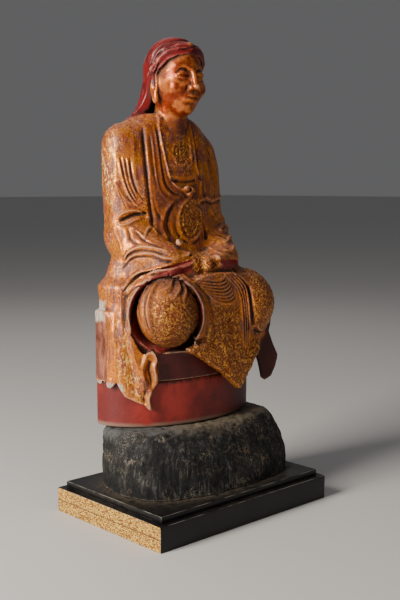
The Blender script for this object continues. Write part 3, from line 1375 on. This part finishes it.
def paint_head(thing, x, y, z):
    hood_forms = np.minimum(FORMS["crown"].distance(x, y, z), FORMS["drape"].distance(x, y, z))
    opening = FORMS["opening"].distance(x, y, z)
    hood = (1 - smooth_step(hood_forms, 4, 7)) * smooth_step(opening, -1.5, 0.5) * smooth_step(z, 596, 612)
    skin = np.minimum(FORMS["skull"].distance(x, y, z), FORMS["forehead"].distance(x, y, z))
    paint(thing, "hood", hood)
    paint(thing, "face", (1 - smooth_step(skin, 9, 13)) * (1 - hood) * smooth_step(z, 606, 622))
    return hood


def paint_lacquer(thing, x, y, z, in_front):
    """Red lacquer on seat, niche and sleeve linings, the rear panel's brown, and what lies in shade."""
    cloth = np.minimum.reduce([form.distance(x, y, z) for form in cloth_forms().values()])
    bare = smooth_step(cloth, 1, 2.5)
    rear = smooth_step(FORMS["rear"].distance(x, y, z), 2.2, 1.2)
    rear = rear * (y > REAR_PANEL_FRONT - 6) * (z < REAR_PANEL_TOP)
    tier = smooth_step(np.abs(FORMS["tier"].distance(x, y, z)), 2.5, 1.2) * (z < SEAT_TOP + 4)
    tier = tier * bare * (1 - rear)
    off_ball = smooth_step(FORMS["ball"].distance(x, y, z), 2, 4) * (y < 45)
    to_niche = np.abs(FORMS["niche"].distance(x, y, z))
    niche = smooth_step(to_niche, 5, 3) * off_ball * bare
    below = smooth_step(FORMS["below"].distance(x, y, z), 3, 1.5) * off_ball * bare
    linings = (LINING_UNDER_CUFFS, LINING_UNDER_FAR_SLEEVE)
    lining = np.maximum(*[inside_outline(outline, x, y, z, 1.5) for outline in linings])
    lining = lining * in_front * (y < 10) * (1 - inside_outline(CUFFS, x, y, z, 1.5))
    tail = near_form(FORMS["far_tail"], x, y, z, 2) * (z < 290)
    paint(thing, "red", np.maximum.reduce([tier, niche, below, lining, tail]))
    paint(thing, "lining", np.maximum(niche, lining))
    paint(thing, "rear", rear * bare)
    apron_rim = (np.abs(outline_distance(APRON_OUTLINE, x, z)) < 4) * (x < -12) * (y < -30)
    apron_rim = apron_rim * (z > 278) * (z < 372)
    niche_rim = smooth_step(to_niche, 6, 3) * off_ball * in_front
    niche_rim = niche_rim * smooth_step(quarter_place(x, y), -66, -40) * (z > 290)
    on_ball = near_form(FORMS["ball"], x, y, z, 3) * (y < 20)
    shaded = [0.35 * apron_rim, 0.65 * niche_rim, 0.4 * on_ball, 0.5 * tail]
    paint(thing, "shaded", np.maximum.reduce(shaded))


def paint_breaks(thing, x, y, z):
    """Bare wood where the robe's rear corner and lower hem have broken off."""
    u = quarter_place(x, y)
    ragged = 5 * SURFACE_WAVES(x, y, z, 8)
    corner = smooth_step(u + ragged, -132, -135) * smooth_step(z + ragged, 304, 308)
    corner = corner * (y > 30) * smooth_step(y + 2 * ragged, 86, 76) * smooth_step(z + ragged, 336, 332)
    hem = smooth_step(z, 216, 212) * (1 - smooth_step(u, -108, -104))
    paint(thing, "bare_wood", np.maximum(corner, hem))


def paint_flakes(thing, x, y, z, facing):
    flaked = np.maximum.reduce([
        inside_outline(FLAKED_SHOULDER, x, y, z, 6),
        inside_outline(FLAKED_STRIP, x, y, z, 3),
        0.8 * inside_outline(FLAKED_HEM, x, y, z, 5),
    ])
    paint(thing, "flaked", flaked * smooth_step(facing, -0.3, 0.1))


# Materials

def colour(red, green, blue):
    """A colour as seen on a screen, 0 to 255, turned into the light values that shaders use."""
    def light(value):
        share = value / 255
        return share / 12.92 if share <= 0.04045 else ((share + 0.055) / 1.055) ** 2.4

    return light(red), light(green), light(blue), 1.0


def grey(value):
    return value, value, value, 1.0


class Look:
    """One material; each short call adds a node and gives back its result."""

    def __init__(self, name):
        self.material = bpy.data.materials.new(name)
        self.material.use_nodes = True
        self.tree = self.material.node_tree
        self.shader = self.tree.nodes["Principled BSDF"]
        self.place = self.tree.nodes.new("ShaderNodeTexCoord").outputs["Object"]
        self.x, self.y, self.z = self.split(self.place)

    def join(self, socket, value):
        if isinstance(value, bpy.types.NodeSocket):
            self.tree.links.new(value, socket)
        else:
            socket.default_value = value

    def put(self, kind, values, output, **settings):
        node = self.tree.nodes.new(kind)
        for name, value in settings.items():
            setattr(node, name, value)
        for name, value in values.items():
            self.join(node.inputs[name], value)
        return node.outputs[output]

    def split(self, vector):
        node = self.tree.nodes.new("ShaderNodeSeparateXYZ")
        self.tree.links.new(vector, node.inputs[0])
        return node.outputs[0], node.outputs[1], node.outputs[2]

    def sum(self, kind, *values):
        """Two or more values taken together, one after the other, and kept from 0 to 1."""
        total = values[0]
        for value in values[1:]:
            total = self.put("ShaderNodeMath", {0: total, 1: value}, 0, operation=kind, use_clamp=True)
        return total

    def times(self, *values):
        return self.sum("MULTIPLY", *values)

    def plus(self, *values):
        return self.sum("ADD", *values)

    def most(self, *values):
        return self.sum("MAXIMUM", *values)

    def less(self, a, b):
        return self.sum("SUBTRACT", a, b)

    def rest(self, a):
        return self.sum("SUBTRACT", 1.0, a)

    def step(self, value, low, high, low_result=0.0, high_result=1.0):
        """Rises smoothly from one result to the other; the low end may be the higher number."""
        values = {"Value": value, "From Min": low, "From Max": high}
        values.update({"To Min": low_result, "To Max": high_result})
        return self.put("ShaderNodeMapRange", values, 0, interpolation_type="SMOOTHSTEP")

    def ragged(self, value, specks, amount):
        """The value, raised by a rough noise so that its edge breaks up."""
        return self.plus(value, self.times(self.less(specks, 0.4), amount))

    def painted(self, name):
        return self.put("ShaderNodeAttribute", {}, "Fac", attribute_name=name)

    def stretched(self, stretch, shift):
        values = {"Vector": self.place, "Scale": stretch, "Location": shift}
        return self.put("ShaderNodeMapping", values, 0)

    def noise(self, size, detail, rough, stretch=(1, 1, 1), shift=(0, 0, 0)):
        """Cloudy noise with patches about size millimetres across."""
        where = self.stretched(stretch, shift)
        values = {"Vector": where, "Scale": 1 / (size * MM), "Detail": detail, "Roughness": rough}
        return self.put("ShaderNodeTexNoise", values, 0)

    def cells(self, size, stretch=(1, 1, 1), feature="F1", output="Distance"):
        where = self.stretched(stretch, (0, 0, 0))
        values = {"Vector": where, "Scale": 1 / (size * MM)}
        return self.put("ShaderNodeTexVoronoi", values, output, feature=feature)

    def coat(self, base, share, amount, over):
        """The base with another colour over a share of it."""
        return self.mix(self.times(share, amount), base, over)

    def mix(self, share, a, b):
        node = self.tree.nodes.new("ShaderNodeMix")
        node.data_type = "RGBA"
        self.join(node.inputs[0], share)
        self.join(node.inputs[6], a)
        self.join(node.inputs[7], b)
        return node.outputs[2]

    def bump(self, height, depth, strength=1.0):
        values = {"Height": height, "Distance": depth * MM, "Strength": strength}
        return self.put("ShaderNodeBump", values, 0)

    def finish(self, **sockets):
        for name, value in sockets.items():
            self.join(self.shader.inputs[name.replace("_", " ")], value)
        return self.material


def worn_gilding():
    look = Look("worn gilding")
    hollow = look.painted("hollow")
    ridge = look.painted("ridge")
    brocade = look.painted("brocade")
    hood = look.painted("hood")
    face = look.painted("face")
    red = look.painted("red")
    bare = look.painted("bare_wood")
    patches = look.noise(30, 5, 0.6)
    streaks = look.noise(7, 5, 0.65, stretch=(1, 1, 0.18))
    specks = look.noise(2.2, 4, 0.65)
    grains = look.noise(1.0, 2, 0.5, shift=(3, 1, 2))

    # Gold leaf over brown and mauve lacquer, worn in upright streaks
    lacquer = look.mix(look.step(patches, 0.36, 0.62), colour(122, 54, 34), colour(140, 60, 20))
    mauve = look.step(look.noise(13, 5, 0.65, stretch=(1, 1, 0.5), shift=(5, 2, 7)), 0.48, 0.6)
    lacquer = look.coat(lacquer, mauve, 0.7, colour(132, 80, 72))
    gold_share = look.step(look.plus(look.times(patches, 0.45), look.times(streaks, 0.6)), 0.47, 0.57)
    gold = look.mix(look.step(specks, 0.4, 0.6), colour(192, 94, 22), colour(246, 158, 50))
    robe = look.mix(gold_share, lacquer, gold)
    worn_through = look.step(look.plus(look.times(specks, 0.55), look.times(streaks, 0.45)), 0.535, 0.6)
    robe = look.coat(robe, worn_through, 0.85, colour(66, 30, 18))
    runs = look.step(look.noise(3.6, 4, 0.75, stretch=(1, 1, 0.22), shift=(1, 7, 7)), 0.54, 0.64)
    robe = look.coat(robe, runs, 0.6, colour(74, 34, 20))
    crumbs = look.step(look.noise(2.6, 3, 0.7, stretch=(1, 1, 0.7), shift=(6, 6, 6)), 0.57, 0.63)
    crumbs = look.times(crumbs, look.step(look.noise(24, 3, 0.5, shift=(8, 3, 3)), 0.36, 0.56))
    robe = look.coat(robe, crumbs, 0.85, colour(240, 170, 84))

    inner = look.painted("inner")
    inner_robe = look.mix(gold_share, colour(84, 32, 14), colour(142, 62, 18))
    robe = look.coat(robe, inner, 0.82, inner_robe)

    # Raised brocade: bright gold grains with dark ground between them
    grainy = look.plus(look.times(specks, 0.6), look.times(grains, 0.4))
    raised = look.step(look.plus(look.times(look.painted("raised"), 0.15), grainy), 0.53, 0.63)
    pattern = look.mix(raised, colour(120, 54, 20), colour(246, 172, 74))
    reddened = look.step(look.noise(9, 5, 0.65, shift=(2, 8, 1)), 0.44, 0.6)
    pattern = look.coat(pattern, reddened, 0.6, colour(158, 78, 34))
    base = look.mix(brocade, robe, pattern)

    # Flakes of brighter leaf where the edge has crazed
    flakes = look.step(look.noise(4.0, 4, 0.7, stretch=(1, 1, 0.55), shift=(1, 4, 2)), 0.54, 0.58)
    flakes = look.times(flakes, look.painted("flaked"))
    base = look.mix(flakes, base, colour(250, 196, 98))

    # Hood and face
    hood_red = look.mix(look.step(patches, 0.4, 0.66), colour(118, 16, 16), colour(78, 11, 14))
    base = look.mix(hood, base, hood_red)
    face_patches = look.noise(17, 5, 0.6, shift=(4, 4, 9))
    face_gold = look.mix(look.step(face_patches, 0.4, 0.6), colour(146, 56, 22), colour(214, 120, 54))
    base = look.mix(face, base, face_gold)

    # Red lacquer inside the niche and on the seat; rosy brown rear panel
    seat_red = look.mix(look.step(patches, 0.36, 0.66), colour(66, 11, 9), colour(92, 20, 16))
    base = look.mix(red, base, seat_red)
    lining_red = look.mix(look.step(specks, 0.4, 0.6), colour(138, 36, 32), colour(164, 58, 48))
    base = look.mix(look.painted("lining"), base, lining_red)
    rear_brown = look.mix(look.step(streaks, 0.42, 0.6), colour(108, 58, 46), colour(172, 108, 78))
    base = look.mix(look.painted("rear"), base, rear_brown)

    # Dirt in the hollows, ridges rubbed pale, dust on what faces up, bare wood where it broke
    dirt = look.step(look.ragged(hollow, specks, 0.5), 0.22, 0.72)
    kept_clean = look.most(look.times(brocade, 0.55), look.times(face, 0.15), look.times(red, 0.85))
    dirt = look.times(dirt, look.rest(kept_clean))
    base = look.coat(base, dirt, 0.93, colour(30, 13, 8))
    gilded_ridge = look.step(look.ragged(ridge, specks, 0.8), 0.2, 0.5)
    not_ridge = look.most(hood, red, bare, brocade, look.times(inner, 0.7))
    gilded_ridge = look.times(gilded_ridge, look.rest(not_ridge))
    base = look.coat(base, gilded_ridge, 0.5, colour(218, 126, 52))
    hood_ridge = look.times(look.step(look.ragged(ridge, specks, 0.6), 0.3, 0.8), hood)
    base = look.coat(base, hood_ridge, 0.5, colour(182, 92, 84))
    rubbed = look.step(look.ragged(ridge, specks, 1.1), 0.52, 0.95)
    unrubbed = look.most(hood, face, look.times(brocade, 0.8), inner)
    rubbed = look.times(rubbed, look.rest(unrubbed))
    base = look.coat(base, rubbed, 0.66, colour(186, 152, 124))
    dust = look.times(look.painted("dust"), look.step(look.noise(7, 5, 0.75, shift=(7, 7, 1)), 0.44, 0.6))
    base = look.coat(base, dust, 0.5, colour(150, 112, 96))
    base = look.mix(look.painted("shaded"), base, colour(54, 22, 12))
    grain = look.noise(3, 4, 0.6, stretch=(1, 1, 0.15), shift=(9, 1, 1))
    wood = look.mix(look.step(grain, 0.35, 0.7), colour(150, 134, 118), colour(206, 194, 176))
    base = look.mix(bare, base, wood)

    leaf_on_robe = look.times(gold_share, look.rest(worn_through))
    leaf = look.most(leaf_on_robe, look.times(brocade, raised), look.times(face, 0.75))
    covered = look.most(hood, red, bare, look.times(dirt, 0.9))
    leaf = look.times(leaf, look.rest(covered))
    metallic = look.times(leaf, look.rest(look.most(rubbed, dust)), 0.7)
    rough = look.mix(leaf, grey(0.48), grey(0.32))
    rough = look.mix(face, rough, grey(0.33))
    rough = look.mix(hood, rough, grey(0.36))
    rough = look.mix(red, rough, grey(0.5))
    covers = [look.times(dirt, 0.8), look.times(dust, 0.7), look.times(rubbed, 0.5)]
    dull = look.most(*covers, bare, look.painted("shaded"))
    rough = look.mix(dull, rough, grey(0.8))
    skin = look.most(face, hood)
    texture = look.plus(look.times(specks, 0.5), look.times(streaks, 0.3), look.times(grains, 0.3))
    height = look.mix(brocade, texture, look.times(raised, 0.9))
    height = look.mix(look.times(skin, 0.85), height, grey(0.5))
    bump = look.bump(height, 0.5, 0.8)
    return look.finish(Base_Color=base, Metallic=metallic, Roughness=rough, Normal=bump)


def red_lacquer():
    look = Look("red lacquer")
    patches = look.noise(60, 5, 0.6)
    runs = look.noise(7, 5, 0.6, stretch=(1, 1, 0.2))
    specks = look.noise(2, 3, 0.6, shift=(2, 2, 2))
    red = look.mix(look.step(patches, 0.36, 0.66), colour(114, 22, 17), colour(166, 46, 37))
    red = look.coat(red, look.step(runs, 0.54, 0.7), 0.4, colour(70, 22, 18))
    red = look.coat(red, look.step(specks, 0.62, 0.7), 0.5, colour(160, 96, 84))
    low, high = drum_low[2] * MM, drum_high[2] * MM
    ragged = look.plus(look.z, look.times(look.less(patches, 0.5), 0.02))
    foot = look.step(ragged, low + 0.009, low + 0.002)
    red = look.coat(red, foot, 0.85, colour(150, 122, 104))
    joint = look.step(look.z, high - 0.006, high - 0.001)
    red = look.mix(look.times(joint, look.step(runs, 0.4, 0.6)), red, colour(38, 22, 18))
    browned = look.step(look.plus(look.x, look.times(look.less(patches, 0.5), 0.1)), -0.05, 0.11)
    red = look.coat(red, browned, 0.85, colour(34, 8, 6))
    rough = look.step(look.plus(look.times(patches, 0.5), look.times(specks, 0.4)), 0.3, 0.7, 0.42, 0.66)
    bump = look.bump(look.plus(look.times(runs, 0.6), look.times(specks, 0.3)), 0.3, 0.6)
    return look.finish(Base_Color=red, Roughness=rough, Normal=bump)


def dark_painted_rock():
    look = Look("dark painted rock")
    hollow = look.painted("hollow")
    ridge = look.painted("ridge")
    streaks = look.noise(4, 5, 0.7, stretch=(1, 1, 0.14))
    patches = look.noise(40, 5, 0.65)
    specks = look.noise(1.8, 4, 0.7)
    worn = look.step(look.noise(26, 5, 0.7, shift=(2, 2, 8)), 0.42, 0.62)
    dark = look.mix(look.step(patches, 0.4, 0.6), colour(9, 11, 14), colour(30, 31, 33))
    paler = look.step(streaks, 0.53, 0.62)
    dark = look.coat(dark, paler, look.plus(look.times(worn, 0.6), 0.3), colour(92, 91, 88))
    scratches = look.step(look.noise(1.6, 3, 0.7, stretch=(1, 1, 0.1), shift=(4, 9, 2)), 0.6, 0.66)
    dark = look.coat(dark, scratches, look.plus(look.times(worn, 0.5), 0.15), colour(140, 134, 122))
    to_the_right = look.step(look.x, -0.06, 0.1, 0.3, 1.0)
    mottled = look.times(look.step(look.noise(7, 5, 0.85, shift=(3, 3, 3)), 0.52, 0.6), to_the_right)
    dark = look.coat(dark, mottled, look.times(worn, 0.95), colour(136, 114, 84))
    chipped = look.step(look.plus(look.times(specks, 0.65), look.times(patches, 0.35)), 0.585, 0.62)
    dark = look.coat(dark, chipped, look.plus(look.times(worn, 0.6), 0.35), colour(184, 170, 140))
    dark = look.coat(dark, look.step(hollow, 0.12, 0.55), 0.85, colour(10, 10, 11))
    rubbed = look.step(look.ragged(ridge, specks, 0.9), 0.35, 0.85)
    dark = look.coat(dark, rubbed, 0.35, colour(140, 134, 122))
    dust = look.times(look.painted("dust"), look.step(look.noise(10, 5, 0.7, shift=(1, 5, 5)), 0.3, 0.55))
    dust_colour = look.mix(look.step(look.x, -0.12, -0.02), colour(92, 94, 94), colour(122, 110, 92))
    dark = look.coat(dark, dust, 0.8, dust_colour)
    rough = look.step(specks, 0.3, 0.7, 0.66, 0.92)
    bump = look.bump(look.plus(look.times(streaks, 0.6), look.times(specks, 0.4)), 1.2, 1.0)
    return look.finish(Base_Color=dark, Roughness=rough, Specular_IOR_Level=0.35, Normal=bump)


def black_laminate():
    look = Look("black laminate")
    dust_cloud = look.noise(38, 5, 0.65)
    specks = look.noise(1.6, 3, 0.6)
    black = look.mix(look.step(dust_cloud, 0.4, 0.7), colour(12, 12, 14), colour(24, 23, 24))
    black = look.coat(black, look.step(specks, 0.66, 0.72), 0.4, colour(80, 74, 66))
    along_edge = look.step(look.painted("edge"), 0.72, 0.95)
    worn_edge = look.times(along_edge, look.step(look.noise(30, 5, 0.6), 0.36, 0.6))
    black = look.coat(black, worn_edge, 0.75, colour(150, 146, 140))
    dust = look.times(look.painted("dust"), look.step(look.noise(9, 5, 0.7, shift=(2, 6, 1)), 0.3, 0.58))
    black = look.coat(black, dust, 0.7, colour(92, 82, 70))
    rough = look.plus(look.step(dust_cloud, 0.35, 0.7, 0.3, 0.48), look.times(dust, 0.4))
    bump = look.bump(specks, 0.06, 0.4)
    return look.finish(Base_Color=black, Roughness=rough, Specular_IOR_Level=0.3, Normal=bump)


def chipboard():
    look = Look("chipboard")
    flakes = look.cells(CHIP_SIZE, stretch=CHIP_STRETCH, output="Color")
    shade = look.split(flakes)[0]
    gaps = look.cells(CHIP_SIZE, stretch=CHIP_STRETCH, feature="DISTANCE_TO_EDGE")
    wood = look.mix(look.step(shade, 0.2, 0.8), colour(142, 84, 22), colour(244, 198, 98))
    wood = look.coat(wood, look.step(gaps, 0.12, 0.0), 0.6, colour(118, 74, 30))
    dark = look.step(look.noise(2.8, 4, 0.75, stretch=(1, 1, 1.9)), 0.55, 0.6)
    wood = look.coat(wood, dark, 0.9, colour(82, 44, 14))
    middle = (board_low[2] + board_high[2]) / 2 * MM
    off_middle = look.put("ShaderNodeMath", {0: look.z, 1: middle}, 0, operation="SUBTRACT")
    off_middle = look.put("ShaderNodeMath", {0: off_middle}, 0, operation="ABSOLUTE")
    joint = look.step(off_middle, 0.0013, 0.0006)
    wood = look.coat(wood, joint, 0.8, colour(84, 52, 26))
    height = look.less(look.rest(look.times(look.step(gaps, 0.1, 0.0), 0.6)), look.times(dark, 0.5))
    return look.finish(Base_Color=wood, Roughness=0.8, Normal=look.bump(height, 0.4, 0.9))


# Rock

ROCK_SLOPES = [(48, 0), (80, 3), (110, 12), (128, 24), (ROCK_TOP, 48)]
ROCK_FACETS = [
    ((-144, 8, 138), (-0.8, -0.35, 0.5)),
    ((160, -20, 112), (0.78, -0.3, 0.55)),
    ((60, -84, 92), (0.2, -0.9, 0.4)),
]
ROCK_ROUGHNESS = Noise(21)
ROCK_END_SLOPE = 0.35


def rock_plan(x, y, slope):
    """1 on the rock's outline in plan, less inside it; slope is how far the side leans in."""
    reach = np.where(x < 0, ROCK_LEFT["reach"], ROCK_RIGHT["reach"])
    squareness = np.where(x < 0, ROCK_LEFT["squareness"], ROCK_RIGHT["squareness"])
    u = np.abs(x) / (reach - slope * ROCK_END_SLOPE)
    v = np.abs(y - ROCK_CENTRE_Y) / (ROCK_HALF_DEPTH - slope)
    return (u ** squareness + v ** squareness) ** (1 / squareness)


def rock_distance(x, y, z):
    front_share = smooth_step(-(y - ROCK_CENTRE_Y), -20, 70)
    right_share = smooth_step(x, 90, 150) * 0.4
    slope = table_value(ROCK_SLOPES, z) * np.maximum(np.maximum(front_share, right_share), 0.04)
    ripple = 1.2 * np.sin(x * 0.09 + z * 0.05) + 1.1 * np.sin(y * 0.12 - z * 0.07 + x * 0.03)
    side = (rock_plan(x, y, slope) - 1) * (ROCK_HALF_DEPTH - slope) * 0.95 + ripple
    ends = np.maximum(z - rock_high[2], STEP_TOP - 10 - z)
    return soft_max(side, ends, 9)


def rock_relief(x, y, z):
    upright = z * 0.2
    streaks = 0.5 * ROCK_ROUGHNESS(x, y, upright, 9) + 0.6 * ROCK_ROUGHNESS(x + 30, y, z * 0.3, 4.5)
    lumps = 0.8 * ROCK_ROUGHNESS(x, y, z, 30)
    pits = 0.5 * ROCK_ROUGHNESS(x, y + 50, z, 6)
    upper_edge = smooth_step(z, 104, 118)
    chips = smooth_step(ROCK_ROUGHNESS(x, y + 50, z * 0.7, 6), 0.3, 0.45) * (0.2 + 0.8 * upper_edge)
    return streaks + lumps + pits - 0.9 * chips - 0.8


def carved_rock():
    carving = Carving((-170, -108, 36), (174, 120, 152), ROCK_CELL)
    carving.add(Form(rock_distance, (-165, -104, 38), (165, 112, ROCK_TOP)), 0)
    for point, facing in ROCK_FACETS:
        n = np.array(facing) / np.linalg.norm(facing)

        def beyond(x, y, z):
            return (x - point[0]) * n[0] + (y - point[1]) * n[1] + (z - point[2]) * n[2]

        carving.trim(beyond, 3)
    carving.relief(rock_relief, 5)
    carving.trim(lambda x, y, z: on_grid(np.maximum(z - rock_high[2], rock_low[2] - z), x, y, z), 0)
    return carving


def make_rock():
    carving = carved_rock()
    points, faces = carving.surface()
    points = np.clip(points, rock_low, rock_high)
    rock = thinned(mesh_object("weathered_rock", points, faces), ROCK_TRIANGLES)
    points, normals = paint_relief(rock, carving)
    upward = smooth_step(normals[:, 2], 0.72, 0.95)
    beside_drum = 1 - smooth_step(seat_distance(points[:, 0], points[:, 1], 0), 6, 26)
    high = smooth_step(points[:, 2], 120, 140)
    paint(rock, "dust", np.maximum(upward * (0.75 + 0.25 * high), beside_drum * high))
    rock.data.materials.append(dark_painted_rock())
    return rock


# Drum

def make_drum():
    """A turned drum of the seat's plan, slightly uneven, with worn rims."""
    around = 256
    bottom, top = drum_low[2], drum_high[2]
    rows = [(bottom, DRUM_RIM), (bottom + 0.5, 0.6), (bottom + DRUM_RIM, 0)]
    span = top - bottom - 2 * DRUM_RIM
    rows += [(bottom + DRUM_RIM + span * k / DRUM_LEVELS, 0) for k in range(1, DRUM_LEVELS)]
    rows += [(top - DRUM_RIM, 0), (top - 0.5, 0.5), (top, DRUM_RIM)]
    unevenness = Noise(31)
    turn = np.linspace(0, 2 * math.pi, around, endpoint=False)
    reach = np.where(np.sin(turn) < 0, SEAT_FRONT_REACH, SEAT_BACK_REACH)
    side, front = SEAT_HALF_WIDTH * np.cos(turn), reach * np.sin(turn)
    rings = []
    for z, set_in in rows:
        wave = unevenness(side, front, z + 0 * turn, 30)
        fine = unevenness(side, front + 90, z * 0.4 + 0 * turn, 8)
        depth = set_in + DRUM_SET_IN + 0.4 * wave + 0.12 * fine
        x = SEAT_CENTRE_X + (SEAT_HALF_WIDTH - depth) * np.cos(turn)
        y = SEAT_CENTRE_Y + (reach - depth) * np.sin(turn)
        rings.append(np.stack([x, y, z + 0 * turn], axis=1))
    points = np.concatenate(rings)
    level, step = np.meshgrid(np.arange(len(rows) - 1), np.arange(around), indexing="ij")
    after = (step + 1) % around
    here, above = level * around, (level + 1) * around
    corners = [here + step, here + after, above + after, above + step]
    faces = np.stack([corner.ravel() for corner in corners], axis=1)
    drum = mesh_object("lacquered_drum", points, faces)
    close_ends(drum)
    drum.data.materials.append(red_lacquer())
    return drum


def close_ends(thing):
    """Closes each open loop of edges with one flat face."""
    mesh = bmesh.new()
    mesh.from_mesh(thing.data)
    open_edges = [edge for edge in mesh.edges if edge.is_boundary]
    bmesh.ops.holes_fill(mesh, edges=open_edges)
    bmesh.ops.recalc_face_normals(mesh, faces=mesh.faces)
    mesh.to_mesh(thing.data)
    mesh.free()


# Plinth

def plain_board(name, low, high):
    """A board with softened edges, cut finely enough to hold painted dust and wear."""
    mesh = bmesh.new()
    bmesh.ops.create_cube(mesh, size=1)
    size = (high - low) * MM
    middle = (high + low) / 2 * MM
    for vertex in mesh.verts:
        vertex.co = [vertex.co[k] * size[k] + middle[k] for k in range(3)]
    edges = list(mesh.edges)
    bmesh.ops.bevel(mesh, geom=edges, offset=EDGE_ROUNDING * MM, segments=3, profile=0.5, affect="EDGES")
    for axis in range(3):
        cuts = int(size[axis] / (BOARD_CELL * MM))
        for k in range(1, cuts):
            at = [0.0, 0.0, 0.0]
            at[axis] = (low[axis] * MM) + size[axis] * k / cuts
            facing = [0.0, 0.0, 0.0]
            facing[axis] = 1.0
            everything = list(mesh.verts) + list(mesh.edges) + list(mesh.faces)
            bmesh.ops.bisect_plane(mesh, geom=everything, plane_co=at, plane_no=facing)
    data = bpy.data.meshes.new(name)
    mesh.to_mesh(data)
    mesh.free()
    data.polygons.foreach_set("use_smooth", np.ones(len(data.polygons), bool))
    return placed(name, data)


def paint_board(thing, low, high):
    x, y, z = points_of(thing).T
    gaps = [np.minimum(v - a, b - v) for v, a, b in zip((x, y, z), low, high)]
    second = np.sort(np.stack(gaps), axis=0)[1]
    paint(thing, "edge", 1 - smooth_step(second, 0.3, 1.6))
    from_rock = np.maximum((rock_plan(x, y, 0) - 1) * ROCK_HALF_DEPTH, 0)
    spill = np.exp(-from_rock / DUST_SPILL)
    paint(thing, "dust", (0.04 + 0.9 * spill) * (z > high[2] - 2))


def make_boards():
    laminate = black_laminate()
    step = plain_board("laminate_step", step_low, step_high)
    paint_board(step, step_low, step_high)
    step.data.materials.append(laminate)
    board = plain_board("chipboard_plinth", board_low, board_high)
    paint_board(board, board_low, board_high)
    for material in (laminate, chipboard()):
        board.data.materials.append(material)
    for face in board.data.polygons:
        face.material_index = 1 if abs(face.normal.x) > 0.9 else 0
    return board, step


# The whole object

sage = make_sage()
rock = make_rock()
drum = make_drum()
plinth, step = make_boards()

for piece, node, slot in (
    (sage, "sage_figure", "worn_gilding"),
    (rock, "rock_base", "dark_painted_rock"),
    (drum, "seat_drum", "red_lacquer"),
    (plinth, "plinth_board", "chipboard"),
    (step, "plinth_top", "black_laminate"),
):
    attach(piece, "root")
    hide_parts(node)


# Floor, lights and camera, in metres

CAMERA_PLACE = (-1.007, -1.089, 0.508)
CAMERA_TURN = -43.13
CAMERA_DIP = 6.8
CAMERA_LENS = 57
SENSOR_WIDTH = 36
FLOOR_REACH = 40
LIT_PLACE = (0, 0, 0.4)
LIGHTS = {
    "window": {"place": (-2.2, 0.1, 1.3), "size": (0.9, 1.5), "power": 118, "tint": (1.0, 0.93, 0.84)},
    "fill": {"place": (-0.4, -2.6, 1.0), "size": (1.6, 1.6), "power": 5, "tint": (1.0, 0.92, 0.84)},
    "rim": {"place": (1.2, 1.6, 1.8), "size": (1.6, 1.6), "power": 4, "tint": (0.95, 0.97, 1.0)},
}


def add_light(name, place, size, power, tint):
    data = bpy.data.lights.new(name, "AREA")
    data.energy = power
    data.shape = "RECTANGLE"
    data.size, data.size_y = size
    data.color = tint
    light = placed(name, data)
    light.location = place
    away = np.array(LIT_PLACE) - np.array(light.location)
    dip = math.atan2(math.hypot(away[0], away[1]), -away[2])
    light.rotation_euler = (dip, 0, math.atan2(-away[0], away[1]))


def add_floor():
    mesh = bpy.data.meshes.new("floor")
    corners = [(x * FLOOR_REACH, y * FLOOR_REACH, 0) for x, y in ((-1, -1), (1, -1), (1, 1), (-1, 1))]
    mesh.from_pydata(corners, [], [(0, 1, 2, 3)])
    look = bpy.data.materials.new("pale floor")
    look.use_nodes = True
    shader = look.node_tree.nodes["Principled BSDF"]
    shader.inputs["Base Color"].default_value = (0.62, 0.61, 0.6, 1)
    shader.inputs["Roughness"].default_value = 0.9
    mesh.materials.append(look)
    placed("floor", mesh)


def add_camera():
    data = bpy.data.cameras.new("camera")
    data.lens = CAMERA_LENS
    data.sensor_width = SENSOR_WIDTH
    camera = placed("camera", data)
    camera.location = CAMERA_PLACE
    camera.rotation_euler = (math.radians(90 - CAMERA_DIP), 0, math.radians(CAMERA_TURN))
    bpy.context.scene.camera = camera


def add_world():
    world = bpy.data.worlds.new("studio")
    world.use_nodes = True
    background = world.node_tree.nodes["Background"]
    background.inputs["Color"].default_value = (0.8, 0.8, 0.82, 1)
    background.inputs["Strength"].default_value = 0.15
    bpy.context.scene.world = world


add_floor()
for name, light in LIGHTS.items():
    add_light(name, **light)
add_world()
add_camera()
